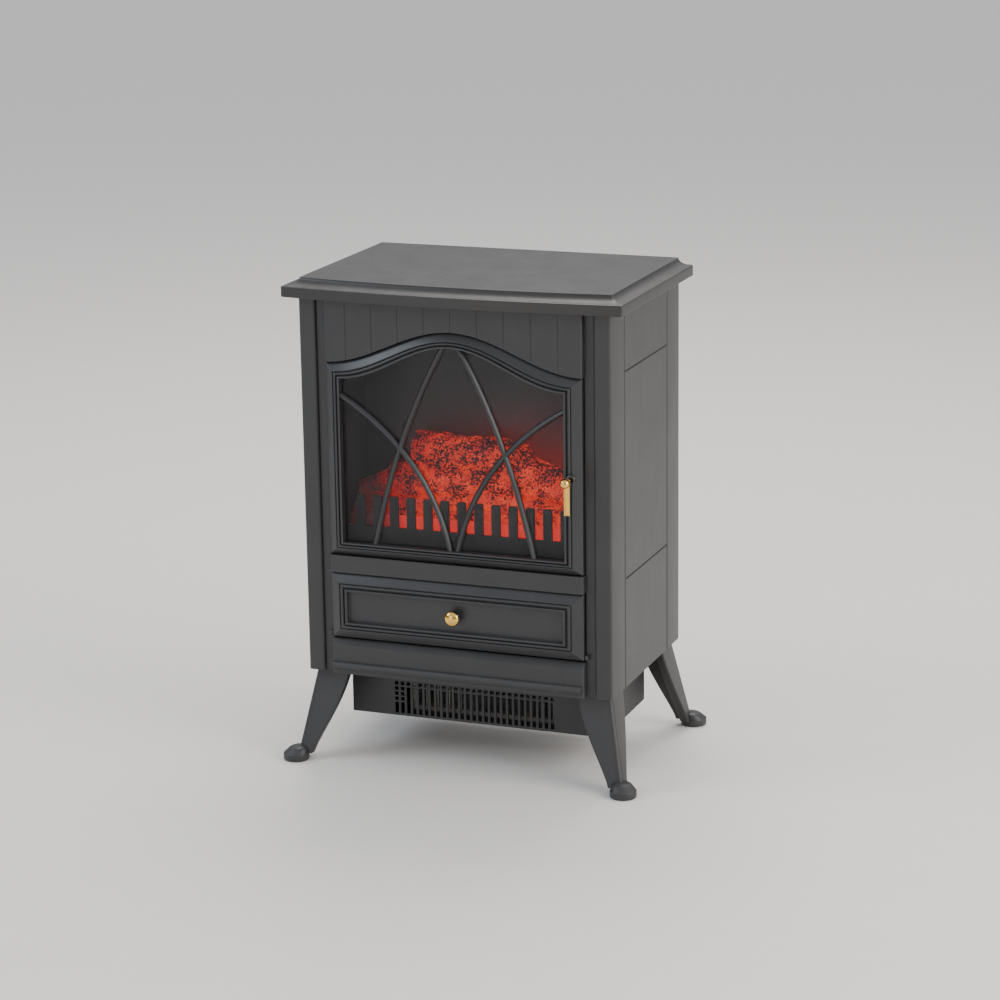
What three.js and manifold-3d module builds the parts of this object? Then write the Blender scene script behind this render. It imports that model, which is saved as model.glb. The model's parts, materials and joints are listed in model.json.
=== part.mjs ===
// Stove-style electric fire: a small panelled cabinet on splayed legs, with a glazed lattice door in
// front of a lit log bed, a drop flap over the controls, and a fan heater slung under the body.
// Millimetres, +Z up, front towards -Y, origin on the floor under the middle of the whole object.
import * as THREE from "three";
import { mergeVertices } from "three/addons/utils/BufferGeometryUtils.js";
import Module from "manifold-3d";

const wasm = await Module();
wasm.setup();

// ---- Clearances and walls ----
const fitGap = 0.3; // between pieces that touch
const doorGap = 1; // round the door and the flap
const flapSwingGap = 2.5; // under the flap, so that its lower edge can roll over
const runGap = 0.4; // round pins, shafts and spindles, on the radius
const wall = 3; // moulded casing
const sheet = 1; // folded metal

// ---- Casing ----
const bodyWidth = 352;
const bodyDepth = 236;
const bodyBottom = 103.5;
const bodyHeight = 416.5;
const cornerWrap = 45; // how far the front and rear mouldings reach round the sides
const pilasterWidth = 19.5;
const channelWidth = 10.5;
const channelDepth = 4; // behind the pilaster's face
const boardProud = 4.8; // in front of the pilaster's face
const edgeRadius = 3.5;
const grooveWidth = 2.4;
const grooveDepth = 1.6;
const beadPitch = 30;
const beadWidth = 1.3;
const beadDepth = 0.35;
const sideGrooves = [0.2917, 0.8343]; // share of the body's height
const railRadius = 4.5;
const railHeight = 9.4; // above the body's underside
const ventCount = 9;
const ventStart = 0.6 * bodyHeight; // above the body's underside
const ventPitch = 9;
const ventWidth = bodyWidth / 4;
const ventHeight = 3.5;
const ventSpacing = bodyWidth / 3;
const glandInset = 56; // from the body's side
const glandHeight = 26; // above the body's underside
const glandRadius = 7;
const glandBore = 3.6;

// ---- Top slab ----
const slabThickness = 20;
const slabOverhang = 15.8;
const slabFrontOverhang = 9.4;
const slabBow = 12; // how far the front edge swells at the middle
const slabBand = 11.4; // height of the upright edge
const slabCove = 15.4; // width of the hollow moulding above it

// ---- Legs ----
const legTopInset = 4.7; // from the body's side
const legSplay = 18.8; // how far the outer edge moves out on its way down
const legTopWing = 39;
const legAnkleWing = 17.5;
const legTopThickness = 9;
const legAnkleThickness = 10;
const legCornerRadius = 4.5;
const ankleHeight = 15;
const footSpanX = bodyWidth + 2 * 14.8; // between foot centres
const footSpanY = bodyDepth + 2 * 8.5;
const footRadius = 14.5;
const footRim = 8;
const hoofLean = 3; // how far the hoof's top leans towards the ankle

// ---- Door ----
const doorReveal = 0.8; // from the board's side to the door's
const doorBottom = bodyBottom + 135.5;
const doorShoulder = bodyBottom + bodyHeight - 69.2; // height of the top edge at its two ends
const doorArch = 39.8; // extra height at the crown
const stileWidth = 18.4;
const railWidth = 15.2;
const doorEdgeThickness = 6;
const doorSetBack = 3.2; // from the board's face to the door's outer edge
const lipProud = 8; // the moulding's highest part in front of that edge
const lipThickness = 3.4;
const paneThickness = 2;
const latticeRim = 3;
const barWidth = 6.5;
const barDepth = 4.6;
const longBarFoot = 0.627; // shares of half the door's width, and of its height at the sides
const longBarKnee = [0.441, 0.656];
const longBarTop = 0.055;
const shortBarStart = 0.84;
const shortBarKnee = [0.186, 0.567];
const shortBarFoot = 0.028;
const doorPinInset = 4.7;
const doorPinRadius = 1.6;
const doorPinLength = 12;

// ---- Door furniture ----
const doorKnobInset = 10.2; // from the door's side
const doorBallRadius = 5.25;
const doorBossRadius = 5.4;
const doorBossLength = 2.4;
const neckRadius = 1.8;
const ballReach = 27; // from the plane of the door's outer edge forwards to the ball's centre
const strapReach = 20;
const strapLength = 36;
const catchInset = 4.2;
const catchRise = 0.727; // share of the door's height at the sides
const catchWidth = 6;
const catchHeight = 14;
const strapWidth = 6.4;
const strapThickness = 1;
const strapRim = 1.6;

// ---- Flap and controls ----
const flapBottom = bodyBottom + 41.5;
const middleRail = 21.2; // between the flap and the door
const flapLead = 6.5; // slope of the sill that the flap rolls over
const flapSideMoulding = 21;
const flapRailMoulding = 19;
const flapPanelProud = 2.6;
const flapPinHeight = 3; // above the flap's lower edge
const flapPinRadius = 1.2;
const flapPinLength = 7.2;
const lugWidth = 3.6; // the ears in the channels that hold the flap's pins
const lugRadius = 2.8;
const flapKnobRadius = 8.4;
const flapKnobReach = 13;
const bayDepth = 15; // from the front moulding's back to the control panel
const rockerWidth = 13;
const rockerHeight = 20;
const rockerTilt = 8;
const rockerPlaces = [-0.6887, -0.4821, -0.2755]; // shares of half the door's width
const dialPlaces = [0.241, 0.6543];
const dialRadius = 11.5;
const dialHeight = 10;
const dialShaft = 3;
const stemRadius = 3; // of both knobs' fixing stems

// ---- Fire ----
const fireInset = 9.2; // from the door's side to the liner's
const fireDepth = bodyDepth - 66;
const linerRise = 5; // the liner's roof above the door's crown
const linerDrop = 2; // the liner's floor above the door's lower edge
const flangeWidth = 14;
const grateBack = 11; // from the liner's mouth
const barPitch = 19.6;
const grateBarWidth = 10;
const grateThickness = 4;
const grateTop = 60; // above the liner's floor
const grateSill = 25.5;
const emberHeight = 38.5;
const logTop = 0.604; // highest log above the liner's floor, share of the door's height at the sides
const logDepth = 50;
const screenBehindLogs = 4;
const spindleBehindScreen = 29;
const spindleHeight = 58;
const spindleRadius = 2;
const flagReach = 15;
const flagCount = 8;
const flagLength = 18;
const lampSpacing = 0.44; // share of the liner's width

// ---- Heater ----
const heaterWidth = bodyWidth - 2 * 27.8;
const heaterFront = 54; // behind the body's front
const heaterLength = bodyDepth - heaterFront - 42.4;
const heaterHeight = 62.5;
const outletCentre = -3.2;
const outletWidth = heaterWidth - 105.4;
const outletSlots = Math.round(outletWidth / 7.07);
const outletBottom = 3; // above the box's floor
const outletTop = 39.5;
const stackPitch = 6; // the first columns hold short slots, one above another
const stackedColumns = 2;
const grilleThickness = 2;
const intakePitch = 12;
const intakeSlots = Math.floor((heaterWidth - 80) / intakePitch);
const slotWidth = 4.2;
const elementWidth = heaterWidth - 124.4;
const elementDepth = 14;
const elementBehind = 22; // behind the outlet
const elementCells = Math.round((elementWidth - 8) / 13.7);
const wheelBehind = 0.6 * heaterLength;
const wheelRadius = 19;
const wheelLength = heaterWidth - 128.4;
const wheelBlades = 14;
const shaftRadius = 2.5;

// ---- Places worked out from those values ----
const bodyHalf = bodyWidth / 2;
const bodyFront = -bodyDepth / 2;
const bodyBack = bodyDepth / 2;
const bodyTop = bodyBottom + bodyHeight;
const boardHalf = bodyHalf - pilasterWidth - channelWidth;
const boardFace = bodyFront - boardProud;
const channelFloor = bodyFront + channelDepth;
const frontBack = channelFloor + wall;
const doorHalf = boardHalf - doorReveal;
const doorHeight = doorShoulder - doorBottom; // at the sides
const doorEdge = boardFace + doorSetBack;
const doorBack = doorEdge + doorEdgeThickness;
const linerMouth = frontBack + fitGap;
const linerFloor = doorBottom + linerDrop + sheet;
const logFront = linerMouth + grateBack + grateThickness + 4;
const screenFront = logFront + logDepth + screenBehindLogs;
const spindleY = screenFront + spindleBehindScreen;
const heaterFaceY = bodyFront + heaterFront;
const heaterBackY = heaterFaceY + heaterLength;
const heaterFloor = bodyBottom - heaterHeight;
const linerRoof = doorShoulder + doorArch + linerRise;
const fireWidth = 2 * (doorHalf - fireInset); // outside the liner
const logRise = logTop * doorHeight;
const wayHalf = doorHalf + doorGap; // half the width of the doorway and of the flap's opening
const doorKnobX = doorHalf - doorKnobInset;
const doorKnobZ = (doorBottom + doorShoulder) / 2;
const flapTop = doorBottom - middleRail;
const flapSill = flapBottom - flapSwingGap;
const flapKnobZ = (flapBottom + flapTop) / 2;
const pinY = doorEdge + doorEdgeThickness / 2;
const doorPinX = -doorHalf + doorPinInset;
const doorPinHeights = [doorBottom, doorShoulder];
const flapPinPlaces = [-doorHalf, doorHalf];
const flapPinZ = flapBottom + flapPinHeight;
const latticeBack = doorEdge - lipProud + lipThickness + fitGap + latticeRim;
const rimShare = 0.82; // where the lattice's rim starts, across the door's moulding
const rimShow = 0.03; // how far the rim shows inside the lip
const catchX = doorHalf - catchInset;
const catchZ = doorBottom + catchRise * doorHeight;
const panelFace = linerMouth + bayDepth;
const panelBack = panelFace + 2.5;
const panelZ = flapKnobZ;
const rockerXs = rockerPlaces.map((share) => share * doorHalf);
const dialXs = dialPlaces.map((share) => share * doorHalf);
const rockerPivotY = panelFace + 1.4;
const spindleZ = linerFloor + spindleHeight;
const spindleHalf = fireWidth / 2 - 22;
const wheelY = heaterFaceY + wheelBehind;
const wheelZ = bodyBottom - heaterHeight / 2;
const baseTop = bodyBottom + wall;
const throatHalf = heaterWidth / 2 - 20;
const glandPlace = [bodyHalf - glandInset, bodyBottom + glandHeight];

// The moulding round the door and the flap, from its outer edge inwards: share of the width, height.
const mouldingProfile = [
  [0, 0],
  [0.5, 6.2],
  [0.55, 6.2],
  [0.58, 4.6],
  [0.64, 6.9],
  [0.72, 7.6],
  [0.8, 6.2],
  [0.84, 6.2],
  [0.88, lipProud],
  [1, lipProud],
];

// ---- Materials ----
const finishes = {
  casing: new THREE.MeshStandardMaterial({ color: 0x2a2b2c, roughness: 0.5, metalness: 0 }),
  sheetMetal: new THREE.MeshStandardMaterial({ color: 0x303132, roughness: 0.55, metalness: 0.3 }),
  brass: new THREE.MeshStandardMaterial({ color: 0xc99a3b, roughness: 0.2, metalness: 1 }),
  pane: new THREE.MeshStandardMaterial({ color: 0xdfe6e8, roughness: 0.05, transparent: true, opacity: 0.2 }),
  log: new THREE.MeshStandardMaterial({ color: 0xb03018, roughness: 0.7, emissive: 0xff3010 }),
  screen: new THREE.MeshStandardMaterial({ color: 0x501410, roughness: 0.4 }),
  steel: new THREE.MeshStandardMaterial({ color: 0x9a9c9e, roughness: 0.35, metalness: 1 }),
  darkSteel: new THREE.MeshStandardMaterial({ color: 0x232425, roughness: 0.45, metalness: 0.6 }),
  blackPlastic: new THREE.MeshStandardMaterial({ color: 0x161616, roughness: 0.35, metalness: 0 }),
  ceramic: new THREE.MeshStandardMaterial({ color: 0xd8d2c4, roughness: 0.8, metalness: 0 }),
  bulb: new THREE.MeshStandardMaterial({ color: 0xffe2a8, roughness: 0.1, transparent: true, opacity: 0.5 }),
};

// ---- Solids ----

/** Reads a closed geometry as a solid, turning its faces round if they point inwards. */
function toSolid(geometry) {
  const bare = new THREE.BufferGeometry().setAttribute("position", geometry.getAttribute("position"));
  if (geometry.index) bare.setIndex(geometry.index);
  const merged = mergeVertices(bare, 1e-4);
  const points = merged.attributes.position.array;
  const faces = [];
  let volume = 0;
  for (let i = 0; i < merged.index.count; i += 3) {
    const [a, b, c] = merged.index.array.slice(i, i + 3);
    if (a === b || b === c || c === a) continue;
    faces.push(a, b, c);
    const [p, q, r] = [a, b, c].map((k) => new THREE.Vector3().fromArray(points, 3 * k));
    volume += p.dot(q.cross(r));
  }
  if (volume < 0) faces.reverse();
  const mesh = { numProp: 3, vertProperties: new Float32Array(points), triVerts: new Uint32Array(faces) };
  return new wasm.Manifold(new wasm.Mesh(mesh));
}

/** Joins solids into one. */
const join = (...solids) => solids.reduce((sum, next) => sum.add(next));

/** Cuts the later solids out of the first. */
const cut = (body, ...tools) => tools.reduce((rest, tool) => rest.subtract(tool), body);

/** Makes the named mesh of a solid. */
function piece(name, solid, material) {
  const made = solid.getMesh();
  const positions = new Float32Array(made.numVert * 3);
  for (let i = 0; i < made.numVert; i++) {
    positions.set(made.vertProperties.subarray(i * made.numProp, i * made.numProp + 3), i * 3);
  }
  const indexed = new THREE.BufferGeometry()
    .setAttribute("position", new THREE.BufferAttribute(positions, 3))
    .setIndex(new THREE.BufferAttribute(made.triVerts, 1));
  const geometry = indexed.toNonIndexed();
  geometry.computeVertexNormals();
  const mesh = new THREE.Mesh(geometry, material);
  mesh.name = name;
  return mesh;
}

/** A box between two values on each axis. */
function block([x0, x1], [y0, y1], [z0, z1]) {
  const box = new THREE.BoxGeometry(x1 - x0, y1 - y0, z1 - z0);
  return toSolid(box.translate((x0 + x1) / 2, (y0 + y1) / 2, (z0 + z1) / 2));
}

const axisFrames = {
  x: new THREE.Matrix4().makeBasis(
    new THREE.Vector3(0, 1, 0),
    new THREE.Vector3(0, 0, 1),
    new THREE.Vector3(1, 0, 0),
  ),
  y: new THREE.Matrix4().makeBasis(
    new THREE.Vector3(1, 0, 0),
    new THREE.Vector3(0, 0, 1),
    new THREE.Vector3(0, 1, 0),
  ),
  z: new THREE.Matrix4(),
};

/** Extrudes an outline along an axis. Its points are (y, z), (x, z) or (x, y) for axis x, y or z. */
function prism(outline, axis, from, to, holes = []) {
  const shape = new THREE.Shape(outline.map(([u, v]) => new THREE.Vector2(u, v)));
  shape.holes = holes.map((hole) => new THREE.Path(hole.map(([u, v]) => new THREE.Vector2(u, v))));
  const extruded = new THREE.ExtrudeGeometry(shape, { depth: to - from, bevelEnabled: false, steps: 1 });
  return toSolid(extruded.translate(0, 0, from).applyMatrix4(axisFrames[axis]));
}

/** A round bar along an axis, through the point (u, v) of the plane across it. */
function rod(axis, [u, v], radius, from, to, sides = 20) {
  const bar = new THREE.CylinderGeometry(radius, radius, to - from, sides).rotateX(Math.PI / 2);
  return toSolid(bar.translate(u, v, (from + to) / 2).applyMatrix4(axisFrames[axis]));
}

/** A turned shape: the profile's points are (radius, distance along the axis from the point given). */
function turned(profile, axis, [u, v, along], sides = 28) {
  const lathe = new THREE.LatheGeometry(profile.map(([r, h]) => new THREE.Vector2(r, h)), sides);
  return toSolid(lathe.rotateX(Math.PI / 2).translate(u, v, along).applyMatrix4(axisFrames[axis]));
}

/** Skins a row of rings with the same number of points; the last meets the first, or both are capped. */
function loft(rings, meetsItself = false) {
  const count = rings[0].length;
  const faces = [];
  const spans = meetsItself ? rings.length : rings.length - 1;
  for (let i = 0; i < spans; i++) {
    const a = i * count;
    const b = ((i + 1) % rings.length) * count;
    for (let j = 0; j < count; j++) {
      const k = (j + 1) % count;
      faces.push(a + j, a + k, b + k, a + j, b + k, b + j);
    }
  }
  if (!meetsItself) {
    const last = (rings.length - 1) * count;
    for (let j = 1; j < count - 1; j++) faces.push(0, j + 1, j, last, last + j, last + j + 1);
  }
  const geometry = new THREE.BufferGeometry();
  geometry.setAttribute("position", new THREE.Float32BufferAttribute(rings.flat(2), 3));
  return toSolid(geometry.setIndex(faces));
}

/** Rounds the corners of an outline whose points are (u, v, radius). */
function rounded(corners, steps = 4) {
  return corners.flatMap(([u, v, radius = 0], i) => {
    if (!radius) return [[u, v]];
    const here = new THREE.Vector2(u, v);
    const last = corners.at(i - 1);
    const before = new THREE.Vector2(last[0], last[1]).sub(here).normalize();
    const next = corners[(i + 1) % corners.length];
    const after = new THREE.Vector2(next[0], next[1]).sub(here).normalize();
    const halfAngle = Math.acos(before.dot(after)) / 2;
    const reach = radius / Math.tan(halfAngle);
    const inward = before.clone().add(after).normalize();
    const centre = inward.multiplyScalar(radius / Math.sin(halfAngle)).add(here);
    const start = before.clone().multiplyScalar(reach).add(here).sub(centre);
    const end = after.clone().multiplyScalar(reach).add(here).sub(centre);
    const sweep = Math.atan2(start.cross(end), start.dot(end));
    return Array.from({ length: steps + 1 }, (_, k) => {
      const spoke = start.clone().rotateAround(new THREE.Vector2(), (sweep * k) / steps).add(centre);
      return [spoke.x, spoke.y];
    });
  });
}

const rectangle = (u0, u1, v0, v1) => [[u0, v0], [u1, v0], [u1, v1], [u0, v1]];
const about = (middle, half) => [middle - half, middle + half];
const mirrored = (half) => [...half, ...half.map(([u, ...rest]) => [-u, ...rest]).reverse()];
const mix = (a, b, t) => a + (b - a) * t;
const smooth = (t) => t * t * (3 - 2 * t);

// ---- Casing pieces ----

/** The slab's outline at one level: square at the back, swollen along the front, set in by inset. */
function slabOutline(inset, z) {
  const half = bodyHalf + slabOverhang - inset;
  const front = bodyFront - slabFrontOverhang + inset;
  const back = bodyBack - inset * 0.25;
  const steps = 24;
  const edge = Array.from({ length: steps + 1 }, (_, i) => {
    const t = mix(-1, 1, i / steps);
    return [half * t, front - slabBow * (1 - t * t), z];
  });
  return [...edge, [half, back, z], [-half, back, z]];
}

function topSlab() {
  const bottom = bodyTop + fitGap;
  const nose = 1.6;
  const coveRise = slabThickness - slabBand - nose / 2;
  const levels = [
    [0, bottom],
    [0, bodyTop + slabBand - nose / 2],
    [nose / 2, bodyTop + slabBand + nose / 4],
  ];
  const steps = 8;
  for (let i = 0; i <= steps; i++) {
    const turn = (i / steps) * (Math.PI / 2);
    const inset = nose + (slabCove - nose) * Math.sin(turn);
    levels.push([inset, bodyTop + slabBand + nose / 2 + coveRise * (1 - Math.cos(turn))]);
  }
  return loft(levels.map(([inset, z]) => slabOutline(inset, z)));
}

/** The arched outline of the door, or of its opening, grown or shrunk from the door's own edge. */
function archOutline(side, rail, steps = 34) {
  const half = doorHalf - side;
  const bottom = doorBottom + rail;
  const curve = Array.from({ length: steps + 1 }, (_, i) => {
    const x = mix(half, -half, i / steps);
    return [x, doorShoulder - rail + (doorArch * (1 + Math.cos((Math.PI * x) / half))) / 2];
  });
  return [[-half, bottom], [half, bottom], ...curve];
}

function frontFrame() {
  const plan = mirrored([
    [boardHalf, boardFace, edgeRadius],
    [boardHalf, channelFloor],
    [bodyHalf - pilasterWidth, channelFloor],
    [bodyHalf - pilasterWidth, bodyFront, edgeRadius],
    [bodyHalf, bodyFront, edgeRadius],
    [bodyHalf, bodyFront + cornerWrap - grooveDepth],
    [bodyHalf - grooveDepth, bodyFront + cornerWrap],
    [bodyHalf - wall, bodyFront + cornerWrap],
    [bodyHalf - wall, frontBack],
  ]);
  const shell = prism(rounded(plan), "z", bodyBottom, bodyTop);
  const rail = rod("x", [boardFace, bodyBottom + railHeight], railRadius, 2 - boardHalf, boardHalf - 2, 28);
  const through = [boardFace - 10, frontBack + 10];
  const doorway = prism(archOutline(-doorGap, -doorGap), "y", ...through);
  const flapway = block([-wayHalf, wayHalf], through, [flapSill, flapTop + doorGap]);
  const leadIn = prism(
    [
      [boardFace - 1, flapSill - flapLead - 1],
      [boardFace + flapLead + 1, flapSill + 1],
      [boardFace - 1, flapSill + 1],
    ],
    "x",
    -wayHalf,
    wayHalf,
  );
  const sideBeads = Math.floor((boardHalf - edgeRadius) / beadPitch);
  const beads = Array.from({ length: 2 * sideBeads + 1 }, (_, i) =>
    beadGroove((i - sideBeads) * beadPitch, boardFace, doorShoulder - railWidth, bodyTop + 1),
  );
  const cuts = [doorway, flapway, leadIn, ...beads, ...doorPinHoles(), ...flapPinHoles()];
  return cut(join(shell, rail, ...flapLugs()), ...cuts);
}

/** The two ears that stand in the channels beside the flap and hold the outer ends of its pins. */
function flapLugs() {
  const nose = pinY - flapPinRadius * 2;
  const outline = rounded([
    [channelFloor + 1, flapPinZ - lugRadius],
    [channelFloor + 1, flapPinZ + lugRadius],
    [nose, flapPinZ + lugRadius, 1.5],
    [nose, flapPinZ - lugRadius, 1.5],
  ]);
  return [wayHalf, -wayHalf - lugWidth].map((x) => prism(outline, "x", x, x + lugWidth));
}

/** A V groove between two beads of the board. */
function beadGroove(x, face, from, to) {
  const spread = (beadWidth / 2) * (1 + 1 / beadDepth);
  const section = [
    [x - spread, face - 1],
    [x + spread, face - 1],
    [x, face + beadDepth],
  ];
  return prism(section, "z", from, to);
}

/** The upright holes that the door's two pins stand in. */
function doorPinHoles() {
  const reach = doorPinLength / 2 + runGap;
  return doorPinHeights.map((z) => rod("z", [doorPinX, pinY], doorPinRadius + runGap, ...about(z, reach)));
}

/** The level holes that the flap's two pins lie in. */
function flapPinHoles() {
  const reach = flapPinLength / 2 + runGap;
  return flapPinPlaces.map((x) => rod("x", [pinY, flapPinZ], flapPinRadius + runGap, ...about(x, reach)));
}

/** One side panel, with the two level grooves that mark it into three fields. */
function sidePanel(side) {
  const [front, back] = [bodyFront + cornerWrap + fitGap, bodyBack - cornerWrap - fitGap];
  const face = side * bodyHalf;
  const inward = (depth) => side * (bodyHalf - depth);
  const plan = [
    [inward(wall), front],
    [inward(grooveDepth), front],
    [face, front + grooveDepth],
    [face, back - grooveDepth],
    [inward(grooveDepth), back],
    [inward(wall), back],
  ];
  const grooves = sideGrooves.map((share) => {
    const z = bodyBottom + share * bodyHeight;
    const spread = (grooveWidth / 2) * (1 + 1 / grooveDepth);
    const section = [
      [inward(-1), z - spread],
      [inward(-1), z + spread],
      [inward(grooveDepth), z],
    ];
    return prism(section, "y", front, back);
  });
  return cut(prism(plan, "z", bodyBottom, bodyTop), ...grooves);
}

function rearShell() {
  const start = bodyBack - cornerWrap;
  const plan = mirrored([
    [bodyHalf - wall, bodyBack - wall],
    [bodyHalf - wall, start],
    [bodyHalf - grooveDepth, start],
    [bodyHalf, start + grooveDepth],
    [bodyHalf, bodyBack, edgeRadius],
  ]);
  const through = [bodyBack - wall - 1, bodyBack + 1];
  const vents = [];
  for (const x of about(0, ventSpacing / 2)) {
    for (let i = 0; i < ventCount; i++) {
      const z = bodyBottom + ventStart + i * ventPitch;
      vents.push(block(about(x, ventWidth / 2), through, [z, z + ventHeight]));
    }
  }
  const glandHole = rod("y", glandPlace, glandRadius + fitGap, ...through);
  return cut(prism(rounded(plan), "z", bodyBottom, bodyTop), glandHole, ...vents);
}

function basePlate() {
  const half = bodyHalf - wall - fitGap;
  const plate = block([-half, half], [frontBack + fitGap, bodyBack - wall - fitGap], [bodyBottom, baseTop]);
  const along = [heaterFaceY + 15, heaterBackY - 15];
  return cut(plate, block([-throatHalf, throatHalf], along, [bodyBottom - 1, baseTop + 1]));
}

/** The front right leg: an angle section that narrows to an ankle, on a round hoof set further out. */
function cornerLeg() {
  const top = bodyBottom - fitGap;
  const sunk = ankleHeight / 2;
  const offset = (footSpanX - footSpanY) / 2; // how much nearer the middle the legs stand in Y than in X
  const steps = 14;
  const rings = Array.from({ length: steps + 1 }, (_, i) => {
    const t = i / steps;
    const outer = bodyHalf - legTopInset + legSplay * (1 - t);
    const wing = mix(legAnkleWing, legTopWing, smooth(t ** 0.75));
    const thick = mix(legAnkleThickness, legTopThickness, t);
    const section = rounded([
      [0, 0, legCornerRadius],
      [wing, 0],
      [wing, thick],
      [thick, thick],
      [thick, wing],
      [0, wing],
    ]);
    return section.map(([u, v]) => [outer - u, v - (outer - offset), mix(sunk, top, t)]);
  });
  const hoof = [
    [footRadius - 1.5, 0, 0],
    [footRadius, 1.5, 0],
    [footRadius, footRim - 1, 0],
    [footRadius - 1.2, footRim, 0],
    [footRadius * 0.66, ankleHeight, hoofLean],
  ].map(([radius, z, lean]) => levelRing([footSpanX / 2 - lean, lean - footSpanY / 2], radius, z));
  return join(loft(rings), loft(hoof));
}

/** The points of a level circle. */
function levelRing([x, y], radius, z, sides = 28) {
  return Array.from({ length: sides }, (_, i) => {
    const angle = (i / sides) * Math.PI * 2;
    return [x + radius * Math.cos(angle), y + radius * Math.sin(angle), z];
  });
}

// ---- Door pieces ----

/** One ring of the door's moulding: the arch set in by a share of the member's width, at a depth. */
function doorRing(share, y) {
  return archOutline(share * stileWidth, share * railWidth).map(([x, z]) => [x, y, z]);
}

function doorFrame() {
  const front = mouldingProfile.map(([share, proud]) => doorRing(share, doorEdge - proud));
  const rebate = rimShare - fitGap / stileWidth;
  const back = [
    doorRing(1, doorEdge - lipProud + lipThickness),
    doorRing(rebate, doorEdge - lipProud + lipThickness),
    doorRing(rebate, doorBack),
    doorRing(0, doorBack),
  ];
  const through = [doorEdge - lipProud - 1, doorBack + 1];
  const stemHole = rod("y", [doorKnobX, doorKnobZ], stemRadius + fitGap, ...through);
  return cut(loft([...front, ...back], true), stemHole, ...doorPinHoles());
}

/** A lattice bar along a curve in the door's plane, with a ridge down its front. */
function latticeBar(from, through, to) {
  const curve = new THREE.QuadraticBezierCurve(...[from, through, to].map((p) => new THREE.Vector2(...p)));
  const half = barWidth / 2;
  const section = [
    [-half, 0],
    [-half, 0.45],
    [-half * 0.35, 1],
    [half * 0.35, 1],
    [half, 0.45],
    [half, 0],
  ];
  const rings = curve.getPoints(14).map((point, i) => {
    const along = curve.getTangent(i / 14);
    return section.map(([across, rise]) => [
      point.x - along.y * across,
      latticeBack - rise * barDepth,
      point.y + along.x * across,
    ]);
  });
  return loft(rings);
}

function doorLattice() {
  const foot = doorBottom + railWidth * rimShare;
  const crown = doorShoulder + doorArch - railWidth * rimShare;
  const place = (side, [across, up]) => [side * across * doorHalf, doorBottom + up * doorHeight];
  const bars = [-1, 1].flatMap((side) => [
    latticeBar([side * longBarFoot * doorHalf, foot], place(side, longBarKnee), [
      side * longBarTop * doorHalf,
      crown,
    ]),
    latticeBar(
      [side * (doorHalf - stileWidth * rimShare), doorBottom + shortBarStart * doorHeight],
      place(side, shortBarKnee),
      [side * shortBarFoot * doorHalf, foot],
    ),
  ]);
  const rimFront = latticeBack - latticeRim;
  const rim = loft(
    [
      doorRing(rimShare, latticeBack),
      doorRing(rimShare, rimFront),
      doorRing(1 + rimShow, rimFront),
      doorRing(1 + rimShow, latticeBack),
    ],
    true,
  );
  const clear = 1 + fitGap / railWidth;
  const tucked = rimShare + 0.02;
  const front = latticeBack - barDepth - 1;
  const inOpening = prism(archOutline(clear * stileWidth, clear * railWidth), "y", front, latticeBack);
  const behindLip = prism(
    archOutline(tucked * stileWidth, tucked * railWidth),
    "y",
    rimFront + 0.2,
    latticeBack,
  );
  return join(rim, join(...bars).intersect(join(inOpening, behindLip)));
}

function doorPane() {
  const inset = rimShare;
  const outline = archOutline(inset * stileWidth, inset * railWidth);
  return prism(outline, "y", latticeBack + fitGap, latticeBack + fitGap + paneThickness);
}

function doorKnobBoss() {
  const seat = doorEdge - lipProud - fitGap;
  const flange = rod("y", [doorKnobX, doorKnobZ], doorBossRadius, seat - doorBossLength, seat);
  const stem = rod("y", [doorKnobX, doorKnobZ], stemRadius, seat - 1, doorBack);
  const bore = rod("y", [doorKnobX, doorKnobZ], neckRadius + fitGap, seat - doorBossLength - 1, doorEdge - 1);
  return cut(join(flange, stem), bore);
}

function doorKnob() {
  const centre = doorEdge - ballReach;
  const sphere = new THREE.SphereGeometry(doorBallRadius, 24, 16).translate(doorKnobX, centre, doorKnobZ);
  const neck = rod("y", [doorKnobX, doorKnobZ], neckRadius, centre, doorEdge - 1 - fitGap, 12);
  return join(toSolid(sphere), neck);
}

/** The thin strap that hangs from the knob's neck, with a raised rim and a lip at its foot. */
function doorStrap() {
  const half = strapWidth / 2;
  const front = doorEdge - strapReach;
  const [foot, head] = [doorKnobZ - strapLength, doorKnobZ + half];
  const corner = [half, half * 0.8];
  const outline = rounded([
    [doorKnobX - corner[0], foot],
    [doorKnobX + corner[0], foot],
    [doorKnobX + corner[0], head, corner[1]],
    [doorKnobX - corner[0], head, corner[1]],
  ]);
  const plate = prism(outline, "y", front, front + strapThickness);
  const rimTop = doorKnobZ - neckRadius * 2;
  const proud = [front - strapRim, front + 0.5];
  const rims = [-half, half - strapThickness].map((from) =>
    block([doorKnobX + from, doorKnobX + from + strapThickness], proud, [foot, rimTop]),
  );
  const lip = block(about(doorKnobX, half), proud, [foot, foot + strapThickness]);
  const hole = rod("y", [doorKnobX, doorKnobZ], neckRadius + runGap, front - 5, front + 5, 12);
  return cut(join(plate, ...rims, lip), hole);
}

function doorCatchPlate() {
  const y = doorBack + fitGap;
  return block(about(catchX, catchWidth / 2), [y, y + 1], about(catchZ, catchHeight / 2));
}

function doorMagnet() {
  const along = [linerMouth - 0.5, linerMouth + 7];
  return block(about(catchX, catchWidth / 2 + 1), along, about(catchZ, catchHeight / 2 + 2));
}

// ---- Flap and control pieces ----

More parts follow.
